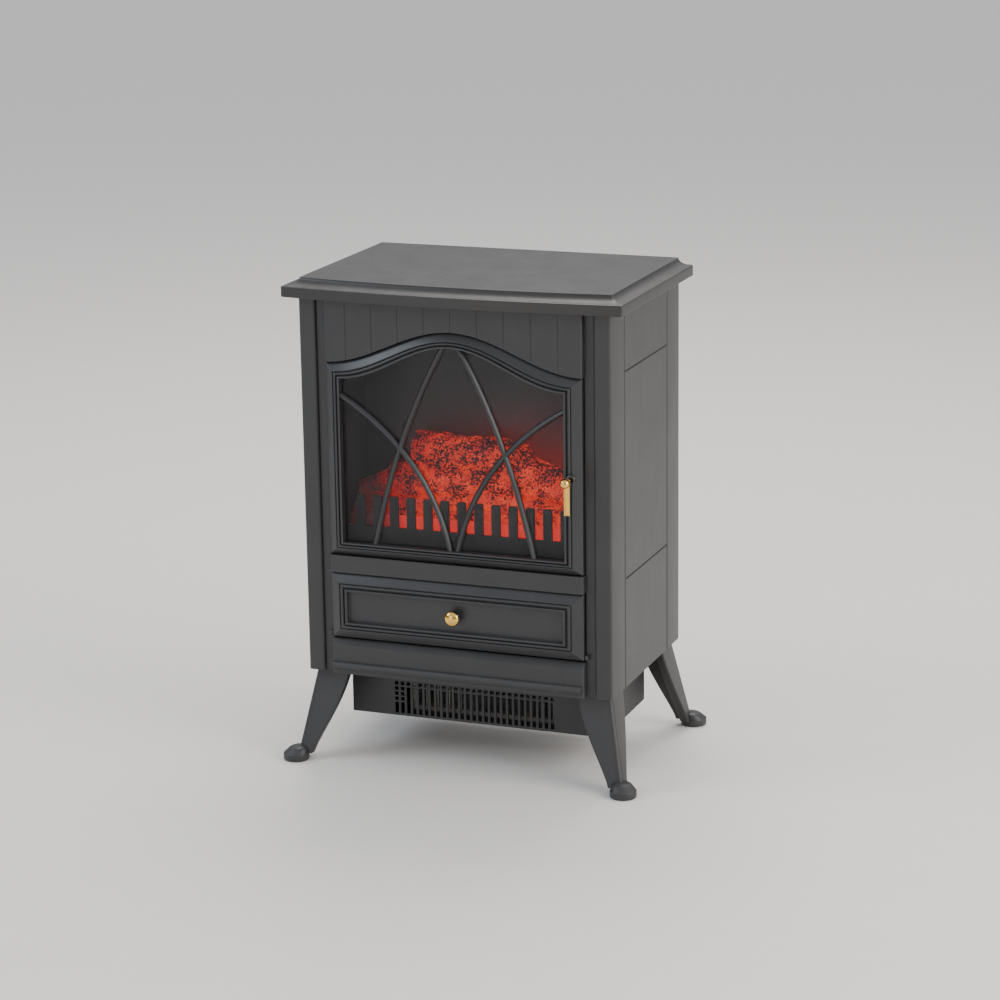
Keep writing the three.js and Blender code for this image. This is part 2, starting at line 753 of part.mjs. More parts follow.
function controlFlap() {
  const ring = (share, y) => {
    const half = doorHalf - share * flapSideMoulding;
    const [low, high] = [flapBottom + share * flapRailMoulding, flapTop - share * flapRailMoulding];
    return rectangle(-half, half, low, high).map(([x, z]) => [x, y, z]);
  };
  const rings = [
    ring(0, doorBack),
    ...mouldingProfile.map(([share, proud]) => ring(share, doorEdge - proud)),
    ring(1, doorEdge - flapPanelProud),
  ];
  const screwHole = rod("y", [0, flapKnobZ], stemRadius + fitGap, doorEdge - 10, doorBack + 1);
  return cut(loft(rings), screwHole, ...flapPinHoles());
}

function flapKnobNeck() {
  const seat = doorEdge - flapPanelProud - fitGap;
  const profile = [
    [0, 0],
    [neckRadius + 3.4, 0],
    [neckRadius + 3.4, 1.4],
    [neckRadius + 2, 2.2],
    [neckRadius + 2, flapKnobReach - flapPanelProud - 4],
    [0, flapKnobReach - flapPanelProud - 4],
  ].map(([r, h]) => [r, -h]);
  const stem = rod("y", [0, flapKnobZ], stemRadius, seat - 1, doorBack, 12);
  return join(turned(profile, "y", [0, flapKnobZ, seat]), stem);
}

function flapKnob() {
  const r = flapKnobRadius;
  const profile = [
    [0, 0],
    [r * 0.62, 0],
    [r * 0.9, 1.4],
    [r, 3],
    [r * 0.94, 4.8],
    [r * 0.72, 6.6],
    [r * 0.38, 7.7],
    [0, 8],
  ].map(([radius, h]) => [radius, -h]);
  return turned(profile, "y", [0, flapKnobZ, doorEdge - flapKnobReach + 4 - 2 * fitGap]);
}

/** The recessed tray behind the flap that carries the switches and dials. */
function controlPanel() {
  const half = doorHalf + 4;
  const [low, high] = [flapSill - wall - 1, flapTop + doorGap + wall];
  const tray = cut(
    block([-half, half], [linerMouth, panelBack], [low, high]),
    block([wall - half, half - wall], [linerMouth - 1, panelFace], [low + wall, high - wall]),
  );
  const through = [panelFace - 1, panelBack + 1];
  const windows = rockerXs.map((x) =>
    block(about(x, (rockerWidth + doorGap) / 2), through, about(panelZ, rockerHeight / 2 + doorGap)),
  );
  const shaftHoles = dialXs.map((x) => rod("y", [x, panelZ], dialShaft + runGap, ...through));
  return cut(tray, ...windows, ...shaftHoles);
}

/** A rocker: two faces that meet in a shallow valley, tipped to its off side. */
function rocker(x) {
  const half = rockerHeight / 2;
  const turn = THREE.MathUtils.degToRad(rockerTilt);
  const profile = [
    [-3.4, 0],
    [-4.6, half],
    [1.6, half],
    [4, half * 0.5],
    [4, -half * 0.5],
    [1.6, -half],
    [-4.6, -half],
  ].map(([u, v]) => [
    rockerPivotY + u * Math.cos(turn) - v * Math.sin(turn),
    panelZ + u * Math.sin(turn) + v * Math.cos(turn),
  ]);
  return prism(profile, "x", x - rockerWidth / 2, x + rockerWidth / 2);
}

function switchBody(x) {
  const [half, tall] = [rockerWidth / 2 + 1.5, rockerHeight / 2 + 3];
  const shell = block(about(x, half), [panelBack + fitGap, panelBack + 18], about(panelZ, tall));
  const well = block(about(x, half - 1), [panelBack, panelBack + 7], about(panelZ, tall - 1));
  return cut(shell, well);
}

function dial(x) {
  const seat = panelFace - runGap;
  const cap = turned(
    [
      [0, 0],
      [dialRadius, 0],
      [dialRadius, -2.5],
      [dialRadius * 0.8, -3.5],
      [dialRadius * 0.74, -dialHeight + 1],
      [dialRadius * 0.66, -dialHeight],
      [0, -dialHeight],
    ],
    "y",
    [x, panelZ, seat],
  );
  const tip = seat - dialHeight;
  const pointer = block(about(x, 0.8), [tip - 0.8, tip + 1], [panelZ, panelZ + dialRadius * 0.6]);
  return join(cap, pointer, rod("y", [x, panelZ], dialShaft, seat - 1, panelFace + 2, 16));
}

function dialBody(x) {
  return block(about(x, 13), [panelBack + fitGap, panelBack + 22], about(panelZ, 15));
}

// ---- Fire pieces ----

function fireLiner() {
  const half = fireWidth / 2;
  const [low, high] = [linerFloor - sheet, linerRoof + sheet];
  const back = linerMouth + fireDepth;
  const shell = block([-half, half], [linerMouth, back], [low, high]);
  const flange = block(
    about(0, half + flangeWidth),
    [linerMouth, linerMouth + sheet],
    [low - flangeWidth, high + flangeWidth],
  );
  const hollow = block([sheet - half, half - sheet], [linerMouth - 1, back - sheet], [linerFloor, linerRoof]);
  const magnetNotch = block(
    about(catchX, catchWidth / 2 + 1.5),
    [linerMouth - 1, linerMouth + 2],
    about(catchZ, catchHeight / 2 + 2.5),
  );
  return cut(join(shell, flange), hollow, magnetNotch);
}

/** A tapered log lying along X, turned about Y by tip, its right end sway further back. */
function log(length, thick, thin, tip, sway, [x, y, z]) {
  const trunk = new THREE.CylinderGeometry(thin, thick, length, 14).rotateZ(-Math.PI / 2);
  trunk.rotateY(THREE.MathUtils.degToRad(-tip)).rotateZ(Math.asin((2 * sway) / length));
  return toSolid(trunk.translate(x, logFront + y, linerFloor + z));
}

function logBed() {
  const half = fireWidth / 2 - sheet - 4;
  const mid = logDepth / 2;
  const bed = prism(
    [
      [logFront, linerFloor + fitGap],
      [logFront + logDepth, linerFloor + fitGap],
      [logFront + logDepth, linerFloor + logRise * 0.5],
      [logFront + mid, linerFloor + logRise * 0.52],
      [logFront, linerFloor + logRise * 0.3],
    ],
    "x",
    -half,
    half,
  );
  const bottomLog = log(1.86 * half, 22, 18, 3, 0, [0, mid, logRise * 0.56]);
  const topLog = log(1.25 * half, 21, 17, -2, -5.7, [-4, mid + 2, logRise - 21]);
  const leftLog = log(0.7 * half, 16, 13, 22, 6.4, [-0.6 * half, mid - 4, logRise * 0.52]);
  const rightLog = log(0.75 * half, 17, 14, -18, -5.1, [0.58 * half, mid - 3, logRise * 0.58]);
  return join(bed, bottomLog, topLog, leftLog, rightLog);
}

function emberStrip() {
  const front = linerMouth + grateBack + grateThickness + fitGap;
  const half = fireWidth / 2 - sheet - 4;
  return block([-half, half], [front, front + 2.4], [linerFloor + fitGap, linerFloor + emberHeight]);
}

function grate() {
  const front = linerMouth + grateBack;
  const across = [front, front + grateThickness];
  const half = fireWidth / 2 - sheet - 2;
  const sill = block([-half, half], across, [linerFloor + fitGap, linerFloor + grateSill]);
  const sideBars = Math.floor((half - grateBarWidth) / barPitch);
  const bars = Array.from({ length: 2 * sideBars + 1 }, (_, i) => {
    const x = (i - sideBars) * barPitch;
    const outline = rounded([
      [x - grateBarWidth / 2, linerFloor + grateSill - 1],
      [x + grateBarWidth / 2, linerFloor + grateSill - 1],
      [x + grateBarWidth / 2, linerFloor + grateTop, 2],
      [x - grateBarWidth / 2, linerFloor + grateTop, 2],
    ]);
    return prism(outline, "y", ...across);
  });
  return join(sill, ...bars);
}

function flameScreen() {
  const half = fireWidth / 2 - sheet - fitGap;
  return block([-half, half], [screenFront, screenFront + sheet], [linerFloor + fitGap, linerRoof - fitGap]);
}

/** The turning spindle whose bright flags throw the moving light on the screen. */
function flickerSpindle() {
  const shaft = rod("x", [spindleY, spindleZ], spindleRadius, -spindleHalf - 6, spindleHalf + 3, 12);
  const flags = Array.from({ length: flagCount }, (_, i) => {
    const flag = new THREE.BoxGeometry(flagLength, 1, 2 * flagReach).rotateX((i * Math.PI * 2) / 5);
    const x = mix(-spindleHalf + flagLength, spindleHalf - flagLength, i / (flagCount - 1));
    return toSolid(flag.translate(x, spindleY, spindleZ));
  });
  return join(shaft, ...flags);
}

const spindleBore = (from, to) => rod("x", [spindleY, spindleZ], spindleRadius + runGap, from, to, 16);

function flickerMotor() {
  const start = spindleHalf - 6;
  const body = rod("x", [spindleY, spindleZ], 14, start, start + 18, 20);
  const stand = block([start + 2, start + 16], about(spindleY, 8), [linerFloor + fitGap, spindleZ]);
  return cut(join(body, stand), spindleBore(start - 1, start + 11));
}

function spindleBracket() {
  const place = [-spindleHalf - 3, -spindleHalf];
  const plate = block(place, about(spindleY, 8), [linerFloor + fitGap, spindleZ + 8]);
  return cut(plate, spindleBore(place[0] - 1, place[1] + 1));
}

function lampHolder(x) {
  return rod("z", [x, spindleY], 9, linerFloor + fitGap, linerFloor + 14);
}

function lamp(x) {
  const profile = [
    [0, 0],
    [6, 0],
    [6, 4],
    [9.5, 11],
    [9.5, 16],
    [6, 22],
    [0, 24.5],
  ];
  return turned(profile, "z", [x, spindleY, linerFloor + 14 + fitGap], 16);
}

// ---- Heater pieces ----

/** The folded metal box under the body; its mouth is closed by the outlet grille. */
function heaterHousing() {
  const half = heaterWidth / 2;
  const front = heaterFaceY + grilleThickness + fitGap;
  const inside = [front - 1, heaterBackY - sheet];
  const shell = cut(
    block([-half, half], [front, heaterBackY], [heaterFloor, bodyBottom - fitGap]),
    block([sheet - half, half - sheet], inside, [heaterFloor + sheet, bodyBottom + 1]),
  );
  const intakes = Array.from({ length: intakeSlots }, (_, i) => {
    const x = (i - (intakeSlots - 1) / 2) * intakePitch;
    return block(about(x, 2.5), [heaterBackY - 5, heaterBackY + 1], [heaterFloor + 14, bodyBottom - 14]);
  });
  return cut(shell, ...intakes);
}

function outletGrille() {
  const half = heaterWidth / 2;
  const back = heaterFaceY + grilleThickness;
  const plate = block([-half, half], [heaterFaceY, back], [heaterFloor, bodyBottom - fitGap]);
  const pitch = outletWidth / outletSlots;
  const through = [heaterFaceY - 1, back + 1];
  const slots = [];
  for (let i = 0; i < outletSlots; i++) {
    const x = outletCentre + (i - (outletSlots - 1) / 2) * pitch;
    const across = about(x, slotWidth / 2);
    slots.push(block(across, through, [heaterFloor + outletTop - 4, heaterFloor + outletTop]));
    const stacked = i < stackedColumns;
    const slotTop = stacked ? outletTop - 4 * stackPitch : outletTop - stackPitch;
    slots.push(block(across, through, [heaterFloor + outletBottom, heaterFloor + slotTop]));
    for (let row = 1; stacked && row < 4; row++) {
      const top = heaterFloor + outletTop - row * stackPitch;
      slots.push(block(across, through, [top - 4, top]));
    }
  }
  return cut(plate, ...slots);
}

function heaterElement() {
  const half = elementWidth / 2;
  const front = heaterFaceY + elementBehind;
  const [low, high] = [heaterFloor + sheet + fitGap, bodyBottom - 8];
  const edge = 4;
  const pitch = (elementWidth - 2 * edge) / elementCells;
  const tall = (high - low - 2 * edge) / 2;
  const through = [front - 1, front + elementDepth + 1];
  const cells = [];
  for (let i = 0; i < elementCells; i++) {
    for (const row of [0, 1]) {
      const x = edge - half + (i + 0.5) * pitch;
      const z = low + edge + (row + 0.5) * tall;
      cells.push(block(about(x, pitch / 2 - 0.8), through, about(z, tall / 2 - 1)));
    }
  }
  return cut(block([-half, half], [front, front + elementDepth], [low, high]), ...cells);
}

/** The curved guide round the blower wheel, with an end plate at each side for the shaft. */
function blowerHousing() {
  const reach = wheelRadius + 3;
  const skin = 1.6;
  const steps = 22;
  const arc = (radius, i) => {
    const angle = mix(-0.15 * Math.PI, 0.85 * Math.PI, i / steps);
    return [wheelY + radius * Math.cos(angle), wheelZ + radius * Math.sin(angle)];
  };
  const outer = Array.from({ length: steps + 1 }, (_, i) => arc(reach + skin, i));
  const inner = Array.from({ length: steps + 1 }, (_, i) => arc(reach, steps - i));
  const half = wheelLength / 2 + 3;
  const guide = prism([...outer, ...inner], "x", -half, half);
  const ends = [-1, 1].map((side) => {
    const plate = about(side * (half - skin / 2), skin / 2);
    const along = [wheelY - reach, wheelY + reach + skin / 2];
    return block(plate, along, [heaterFloor + sheet + fitGap, wheelZ + reach]);
  });
  const shaftHole = rod("x", [wheelY, wheelZ], shaftRadius + runGap, -half - 1, half + 1);
  return cut(join(guide, ...ends), shaftHole);
}

/** The drum of blades on its shaft. */
function blowerWheel() {
  const half = wheelLength / 2;
  const shaft = rod("x", [wheelY, wheelZ], shaftRadius, -half - 14, half + 18, 12);
  const discs = [-half, -1, half - 2].map((x) =>
    rod("x", [wheelY, wheelZ], wheelRadius, x, x + 2, wheelBlades * 2),
  );
  const blades = Array.from({ length: wheelBlades }, (_, i) => {
    const blade = new THREE.BoxGeometry(wheelLength - 1, 5, 0.8).rotateX(0.5);
    blade.translate(0, wheelRadius - 3.4, 0).rotateX((i * 2 * Math.PI) / wheelBlades);
    return toSolid(blade.translate(0, wheelY, wheelZ));
  });
  return join(shaft, ...discs, ...blades);
}

function blowerMotor() {
  const start = wheelLength / 2 + 3 + 2;
  const body = rod("x", [wheelY, wheelZ], 17, start, start + 24, 20);
  const stand = block([start + 3, start + 20], about(wheelY, 9), [heaterFloor + sheet + fitGap, wheelZ]);
  return cut(join(body, stand), rod("x", [wheelY, wheelZ], shaftRadius + runGap, start - 1, start + 16, 12));
}

function blowerBearing() {
  const start = -wheelLength / 2 - 3 - 2;
  const bush = rod("x", [wheelY, wheelZ], 7, start - 8, start);
  const stand = block([start - 7, start - 1], about(wheelY, 6), [heaterFloor + sheet + fitGap, wheelZ]);
  return cut(join(bush, stand), rod("x", [wheelY, wheelZ], shaftRadius + runGap, start - 9, start + 1, 12));
}

/** The heat switch that stands beside the element. */
function thermalCutout() {
  const [x, y] = [-elementWidth / 2 - 14, heaterFaceY + elementBehind + 10];
  const low = bodyBottom - 24;
  const ears = block(about(x, 8), about(y, 8), [low + 5, low + 7]);
  return join(rod("z", [x, y], 7, low, low + 6), ears);
}

function terminalBlock() {
  const [x, y] = [glandPlace[0] - 25, bodyBack - wall - 25];
  const body = block(about(x, 20), about(y, 9), [baseTop + fitGap, baseTop + 16]);
  const ways = [x - 12, x, x + 12].map((u) => rod("z", [u, y], 2.4, baseTop + 10, baseTop + 17, 12));
  return cut(body, ...ways);
}

/** The bush that the mains lead enters through: a collar outside the back and a nut end inside. */
function cordGland() {
  const outside = bodyBack + fitGap;
  const collar = turned(
    [
      [0, 0],
      [glandRadius + 3, 0],
      [glandRadius + 3, 2.5],
      [glandRadius - 1, 7],
      [0, 7],
    ],
    "y",
    [...glandPlace, outside],
  );
  const barrel = rod("y", glandPlace, glandRadius, bodyBack - wall - 8, outside + 1);
  return cut(join(collar, barrel), rod("y", glandPlace, glandBore, bodyBack - wall - 9, outside + 8));
}

// ---- Assembly ----

const fireplace = new THREE.Group();
const body = new THREE.Group(); // everything, in the body's own frame
fireplace.add(body);

const add = (name, solid, material) => body.add(piece(name, solid, material));

add("top_slab", topSlab(), finishes.casing);
add("front_frame", frontFrame(), finishes.casing);
add("side_panel_left", sidePanel(-1), finishes.casing);
add("side_panel_right", sidePanel(1), finishes.casing);
add("rear_shell", rearShell(), finishes.casing);
add("base_plate", basePlate(), finishes.sheetMetal);

for (const [end, y] of [["front", 1], ["rear", -1]]) {
  for (const [side, x] of [["left", -1], ["right", 1]]) {
    const leg = piece(`leg_${end}_${side}`, cornerLeg(), finishes.casing);
    leg.scale.set(x, y, 1);
    body.add(leg);
  }
}

add("door_frame", doorFrame(), finishes.casing);
add("door_lattice", doorLattice(), finishes.casing);
add("door_pane", doorPane(), finishes.pane);
["lower", "upper"].forEach((level, i) => {
  const [low, high] = about(doorPinHeights[i], doorPinLength / 2);
  const pin = rod("z", [doorPinX, pinY], doorPinRadius, low, high, 16);
  add(`door_hinge_pin_${level}`, pin, finishes.darkSteel);
});
add("door_knob_boss", doorKnobBoss(), finishes.blackPlastic);
add("door_knob", doorKnob(), finishes.brass);
add("door_strap", doorStrap(), finishes.brass);
add("door_catch_plate", doorCatchPlate(), finishes.steel);
add("door_magnet", doorMagnet(), finishes.blackPlastic);

add("control_flap", controlFlap(), finishes.casing);
["left", "right"].forEach((side, i) => {
  const [from, to] = about(flapPinPlaces[i], flapPinLength / 2);
  const pin = rod("x", [pinY, flapPinZ], flapPinRadius, from, to, 16);
  add(`flap_hinge_pin_${side}`, pin, finishes.darkSteel);
});
add("flap_knob_neck", flapKnobNeck(), finishes.blackPlastic);
add("flap_knob", flapKnob(), finishes.brass);
add("control_panel", controlPanel(), finishes.blackPlastic);
["flame", "low_heat", "high_heat"].forEach((use, i) => {
  add(`${use}_rocker`, rocker(rockerXs[i]), finishes.blackPlastic);
  add(`${use}_switch`, switchBody(rockerXs[i]), finishes.blackPlastic);
});
["thermostat", "dimmer"].forEach((use, i) => {
  add(`${use}_dial`, dial(dialXs[i]), finishes.blackPlastic);
  add(`${use}_body`, dialBody(dialXs[i]), finishes.blackPlastic);
});

add("fire_liner", fireLiner(), finishes.sheetMetal);
add("log_bed", logBed(), finishes.log);
add("ember_strip", emberStrip(), finishes.log);
add("grate", grate(), finishes.blackPlastic);
add("flame_screen", flameScreen(), finishes.screen);
add("flicker_spindle", flickerSpindle(), finishes.steel);
add("flicker_motor", flickerMotor(), finishes.steel);
add("spindle_bracket", spindleBracket(), finishes.sheetMetal);
["left", "right"].forEach((side, i) => {
  const x = about(0, (lampSpacing * fireWidth) / 2)[i];
  add(`lamp_${side}`, lamp(x), finishes.bulb);
  add(`lamp_holder_${side}`, lampHolder(x), finishes.ceramic);
});

add("heater_housing", heaterHousing(), finishes.sheetMetal);
add("outlet_grille", outletGrille(), finishes.sheetMetal);
add("heater_element", heaterElement(), finishes.ceramic);
add("blower_housing", blowerHousing(), finishes.sheetMetal);
add("blower_wheel", blowerWheel(), finishes.steel);
add("blower_motor", blowerMotor(), finishes.steel);
add("blower_bearing", blowerBearing(), finishes.blackPlastic);
add("thermal_cutout", thermalCutout(), finishes.steel);
add("terminal_block", terminalBlock(), finishes.ceramic);
add("cord_gland", cordGland(), finishes.blackPlastic);

// The knob's ball reaches further forward than the feet, so the body sits a little behind the middle.
const whole = new THREE.Box3().setFromObject(body);
body.position.y = -(whole.min.y + whole.max.y) / 2;

export default fireplace;
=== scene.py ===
# %% [markdown]
# # A stove-style electric fire
# A small cabinet on four splayed legs, with a lattice door in front of glowing logs, a drop flap with a
# brass knob, and a slotted warm-air outlet underneath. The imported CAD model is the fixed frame. Every
# cell below either gives one of its pieces a finish, or builds a finer surface that stands for it.

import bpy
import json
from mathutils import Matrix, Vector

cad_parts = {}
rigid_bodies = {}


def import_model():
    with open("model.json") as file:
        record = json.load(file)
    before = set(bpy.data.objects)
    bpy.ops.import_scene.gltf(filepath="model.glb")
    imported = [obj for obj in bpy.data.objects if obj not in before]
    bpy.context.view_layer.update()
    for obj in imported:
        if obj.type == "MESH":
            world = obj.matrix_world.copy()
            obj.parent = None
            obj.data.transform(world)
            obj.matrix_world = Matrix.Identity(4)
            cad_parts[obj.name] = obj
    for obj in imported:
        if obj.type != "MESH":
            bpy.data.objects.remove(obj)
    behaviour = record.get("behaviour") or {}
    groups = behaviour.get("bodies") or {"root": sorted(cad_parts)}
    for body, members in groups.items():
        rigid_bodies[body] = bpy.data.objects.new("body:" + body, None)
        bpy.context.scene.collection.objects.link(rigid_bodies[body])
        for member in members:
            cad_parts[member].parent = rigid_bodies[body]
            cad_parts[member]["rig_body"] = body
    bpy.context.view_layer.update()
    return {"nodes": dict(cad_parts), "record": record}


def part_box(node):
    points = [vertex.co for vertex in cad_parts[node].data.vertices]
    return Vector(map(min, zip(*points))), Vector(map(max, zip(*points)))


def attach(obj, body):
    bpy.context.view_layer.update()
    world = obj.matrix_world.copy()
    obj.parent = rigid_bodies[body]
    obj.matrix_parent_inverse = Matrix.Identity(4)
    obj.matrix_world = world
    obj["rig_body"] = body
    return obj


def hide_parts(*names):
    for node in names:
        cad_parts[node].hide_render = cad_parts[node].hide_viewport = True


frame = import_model()

# %% [markdown]
# ## Working in millimetres
# Blender measures in metres, but the casing was drawn in millimetres, so the shapes below are worked out
# in millimetres and turned into metres in one place, where an array of points becomes a mesh. The
# alternative, metres everywhere, would fill the cells with small decimals.

# %% Millimetres and CAD extents
import json
import math

import bmesh
import bpy
import numpy as np
from mathutils import Matrix, Vector

MM = 0.001


def extent(*nodes):
    """Lowest and highest corner of some CAD pieces together, in millimetres."""
    corners = np.array([[list(c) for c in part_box(n)] for n in nodes]) / MM
    return corners[:, 0].min(0), corners[:, 1].max(0)


body_middle_y = sum(extent("side_panel_left")[i][1] for i in (0, 1)) / 2

# %% [markdown]
# ## The camera
# A product picture of a low object is taken from a little above it with a long lens, so that upright
# edges stay almost parallel. The camera stands 3.2 m away, to the right of the front, and looks down by
# about 15 degrees. Its matrix is built from turn, tilt and roll, so each can be read on its own.

# %% Camera
EYE = np.array([1157.3, -2987.9, 1121.9])
TURN, TILT, ROLL = (math.radians(a) for a in (21.03, 14.70, -0.83))
ahead = np.array([-math.sin(TURN) * math.cos(TILT), math.cos(TURN) * math.cos(TILT), -math.sin(TILT)])
level = np.array([math.cos(TURN), math.sin(TURN), 0.0])
upward = np.cross(level, ahead)
right = math.cos(ROLL) * level + math.sin(ROLL) * upward
up = math.cos(ROLL) * upward - math.sin(ROLL) * level

lens = bpy.data.cameras.new("camera")
lens.sensor_width, lens.lens = 36, 108.4
camera = bpy.data.objects.new("camera", lens)
camera.matrix_world = Matrix(
    [[*map(float, (right[i], up[i], -ahead[i])), float(EYE[i] * MM)] for i in range(3)] + [[0, 0, 0, 1]]
)
bpy.context.scene.collection.objects.link(camera)
bpy.context.scene.camera = camera
print("camera at", EYE, "mm")

# %% [markdown]
# ## Floor and light
# Black satin surfaces show the room more than themselves, so the light decides how they look. A pale
# floor fills them from below, one broad warm panel at the right gives the bright side and top, a low one
# in front lifts the faces under the slab, a cool one at the upper left draws the soft lines on the
# mouldings, and one above and behind lights the top. The room's own light is weak near the horizon and
# strong overhead, which gives polished brass something dark and something bright to show. An even room
# would make it look like paint.

# %% Floor and studio light
def area_light(name, place, target, size, power, tint):
    """A square panel of light that faces a point."""
    lamp = bpy.data.lights.new(name, "AREA")
    lamp.shape, lamp.size, lamp.energy, lamp.color = "SQUARE", size, power, tint
    panel = bpy.data.objects.new(name, lamp)
    panel.location = place
    panel.rotation_euler = (Vector(target) - Vector(place)).to_track_quat("-Z", "Y").to_euler()
    bpy.context.scene.collection.objects.link(panel)


area_light("key_panel", (2.7, -0.5, 1.3), (0, 0, 0.3), 1.8, 64, (1.0, 0.965, 0.92))
area_light("front_panel", (-0.9, -3.3, 0.75), (0, 0, 0.25), 1.9, 15, (0.97, 0.97, 1.0))
area_light("window_panel", (-2.6, -1.6, 2.2), (0, 0, 0.35), 1.5, 42, (0.76, 0.87, 1.0))
area_light("top_panel", (-0.2, 1.4, 2.6), (0, 0, 0.5), 1.6, 46, (1.0, 0.96, 0.92))

world = bpy.data.worlds.new("studio")
bpy.context.scene.world = world
world.use_nodes = True

HALF_FLOOR = 20.0
floor_mesh = bpy.data.meshes.new("floor")
floor_mesh.from_pydata([(x, y, 0) for x, y in
                        ((-HALF_FLOOR, -HALF_FLOOR), (HALF_FLOOR, -HALF_FLOOR),
                         (HALF_FLOOR, HALF_FLOOR), (-HALF_FLOOR, HALF_FLOOR))], [], [(0, 1, 2, 3)])
floor = bpy.data.objects.new("floor", floor_mesh)
bpy.context.scene.collection.objects.link(floor)

# %% [markdown]
# ## Node groups: grain, marks and dust
# Three effects are wanted in most finishes: the fine grain of a moulded or sprayed surface, faint marks
# left by hands and cleaning, and dust on what faces up. Each is a node group, built once, so that one
# change to it reaches every finish. They put out only values that vary over the surface. The alternative,
# copies of the same nodes in each material, drifts apart as soon as one is tuned.

# %% Node group helpers
MIX_SHARE, MIX_FIRST, MIX_SECOND, MIX_COLOUR_OUT = 0, 6, 7, 2  # places of the Mix node's colour sockets


def node(tree, kind, values=(), **settings):
    """Adds a node, sets its properties, and sets or links its inputs by name."""
    made = tree.nodes.new(kind)
    for key, value in settings.items():
        setattr(made, key, value)
    for key, value in dict(values).items():
        if isinstance(value, bpy.types.NodeSocket):
            tree.links.new(value, made.inputs[key])
        else:
            made.inputs[key].default_value = value
    return made


def new_group(name, inputs, outputs):
    """An empty group whose inputs and outputs are (name, socket type, default)."""
    tree = bpy.data.node_groups.new(name, "ShaderNodeTree")
    for way, sockets in (("INPUT", inputs), ("OUTPUT", outputs)):
        for label, kind, *default in sockets:
            socket = tree.interface.new_socket(name=label, in_out=way, socket_type=kind)
            if default:
                socket.default_value = default[0]
    return tree, tree.nodes.new("NodeGroupInput"), tree.nodes.new("NodeGroupOutput")


def maths(tree, operation, *values, clamp=False):
    """One Math node's value."""
    return node(tree, "ShaderNodeMath", enumerate(values), operation=operation, use_clamp=clamp).outputs[0]


def noise(tree, vector, scale, detail=3.0, roughness=0.5):
    """The value of a Noise texture."""
    return node(tree, "ShaderNodeTexNoise", {"Vector": vector, "Scale": scale, "Detail": detail,
                                             "Roughness": roughness}).outputs["Fac"]


def blended(tree, share, first, second):
    """A colour between two others."""
    sockets = {MIX_FIRST: first, MIX_SECOND: second, MIX_SHARE: share}
    return node(tree, "ShaderNodeMix", sockets, data_type="RGBA").outputs[MIX_COLOUR_OUT]


def remap(tree, value, low, high, to_low=0.0, to_high=1.0):
    """Stretches low..high to to_low..to_high and holds it there."""
    return node(tree, "ShaderNodeMapRange", {"Value": value, "From Min": low, "From Max": high,
                                             "To Min": to_low, "To Max": to_high}).outputs["Result"]


# %% Room light
sky = world.node_tree
view_direction = sky.nodes.new("ShaderNodeTexCoord").outputs["Generated"]
height = node(sky, "ShaderNodeSeparateXYZ", {"Vector": view_direction})
overhead = remap(sky, height.outputs["Z"], -0.05, 0.75, 0.14, 0.95)
to_right = remap(sky, height.outputs["X"], 0.0, 1.0, 0.0, 0.35)
sky.links.new(maths(sky, "ADD", overhead, to_right), sky.nodes["Background"].inputs["Strength"])
sky.nodes["Background"].inputs["Color"].default_value = (0.93, 0.95, 1.0, 1)

# %% Grain, marks and dust
FLOAT, VECTOR = "NodeSocketFloat", "NodeSocketVector"

tree, given, out = new_group("surface_grain", [("Vector", VECTOR), ("Scale", FLOAT, 900.0),
                                               ("Swell", FLOAT, 0.4)], [("Height", FLOAT)])
fine = noise(tree, given.outputs["Vector"], given.outputs["Scale"], 4.0, 0.6)
broad = noise(tree, given.outputs["Vector"], maths(tree, "MULTIPLY", given.outputs["Scale"], 0.06), 2.0)
swell = maths(tree, "MULTIPLY", broad, given.outputs["Swell"])
tree.links.new(maths(tree, "ADD", fine, swell), out.inputs["Height"])

tree, given, out = new_group("handling_marks", [("Vector", VECTOR), ("Roughness", FLOAT, 0.4),
                                                ("Spread", FLOAT, 0.1)], [("Roughness", FLOAT)])
cloudy = noise(tree, given.outputs["Vector"], 14.0, 5.0, 0.62)
streaks = noise(tree, node(tree, "ShaderNodeMapping", {"Vector": given.outputs["Vector"],
                                                       "Scale": (60.0, 60.0, 9.0)}).outputs[0], 2.0, 3.0)
swing = maths(tree, "SUBTRACT", maths(tree, "ADD", cloudy, streaks), 1.0)
tree.links.new(maths(tree, "MULTIPLY_ADD", swing, given.outputs["Spread"], given.outputs["Roughness"]),
               out.inputs["Roughness"])

tree, given, out = new_group("settled_dust", [("Vector", VECTOR), ("Normal", VECTOR),
                                              ("Amount", FLOAT, 0.1)], [("Mask", FLOAT)])
facing = node(tree, "ShaderNodeSeparateXYZ", {"Vector": given.outputs["Normal"]}).outputs["Z"]
lying = remap(tree, facing, 0.55, 1.0)
patches = remap(tree, noise(tree, given.outputs["Vector"], 30.0, 6.0, 0.65), 0.3, 0.75)
tree.links.new(maths(tree, "MULTIPLY", maths(tree, "MULTIPLY", lying, patches), given.outputs["Amount"]),
               out.inputs["Mask"])
print("groups", [g.name for g in bpy.data.node_groups])

# %% [markdown]
# ## Painted, moulded and metal finishes
# Nearly every outer surface is black, and what tells the parts apart is how they scatter light: the top
# is sprayed fibreboard, the casing and door are satin mouldings, the box below is powder-coated steel.
# One function makes all of them from a few values, because they are one family. Brass, steel and
# aluminium use it too with the metallic value up and the dust off.

# %% The common finish
DUST_COLOUR = (0.42, 0.40, 0.37, 1)


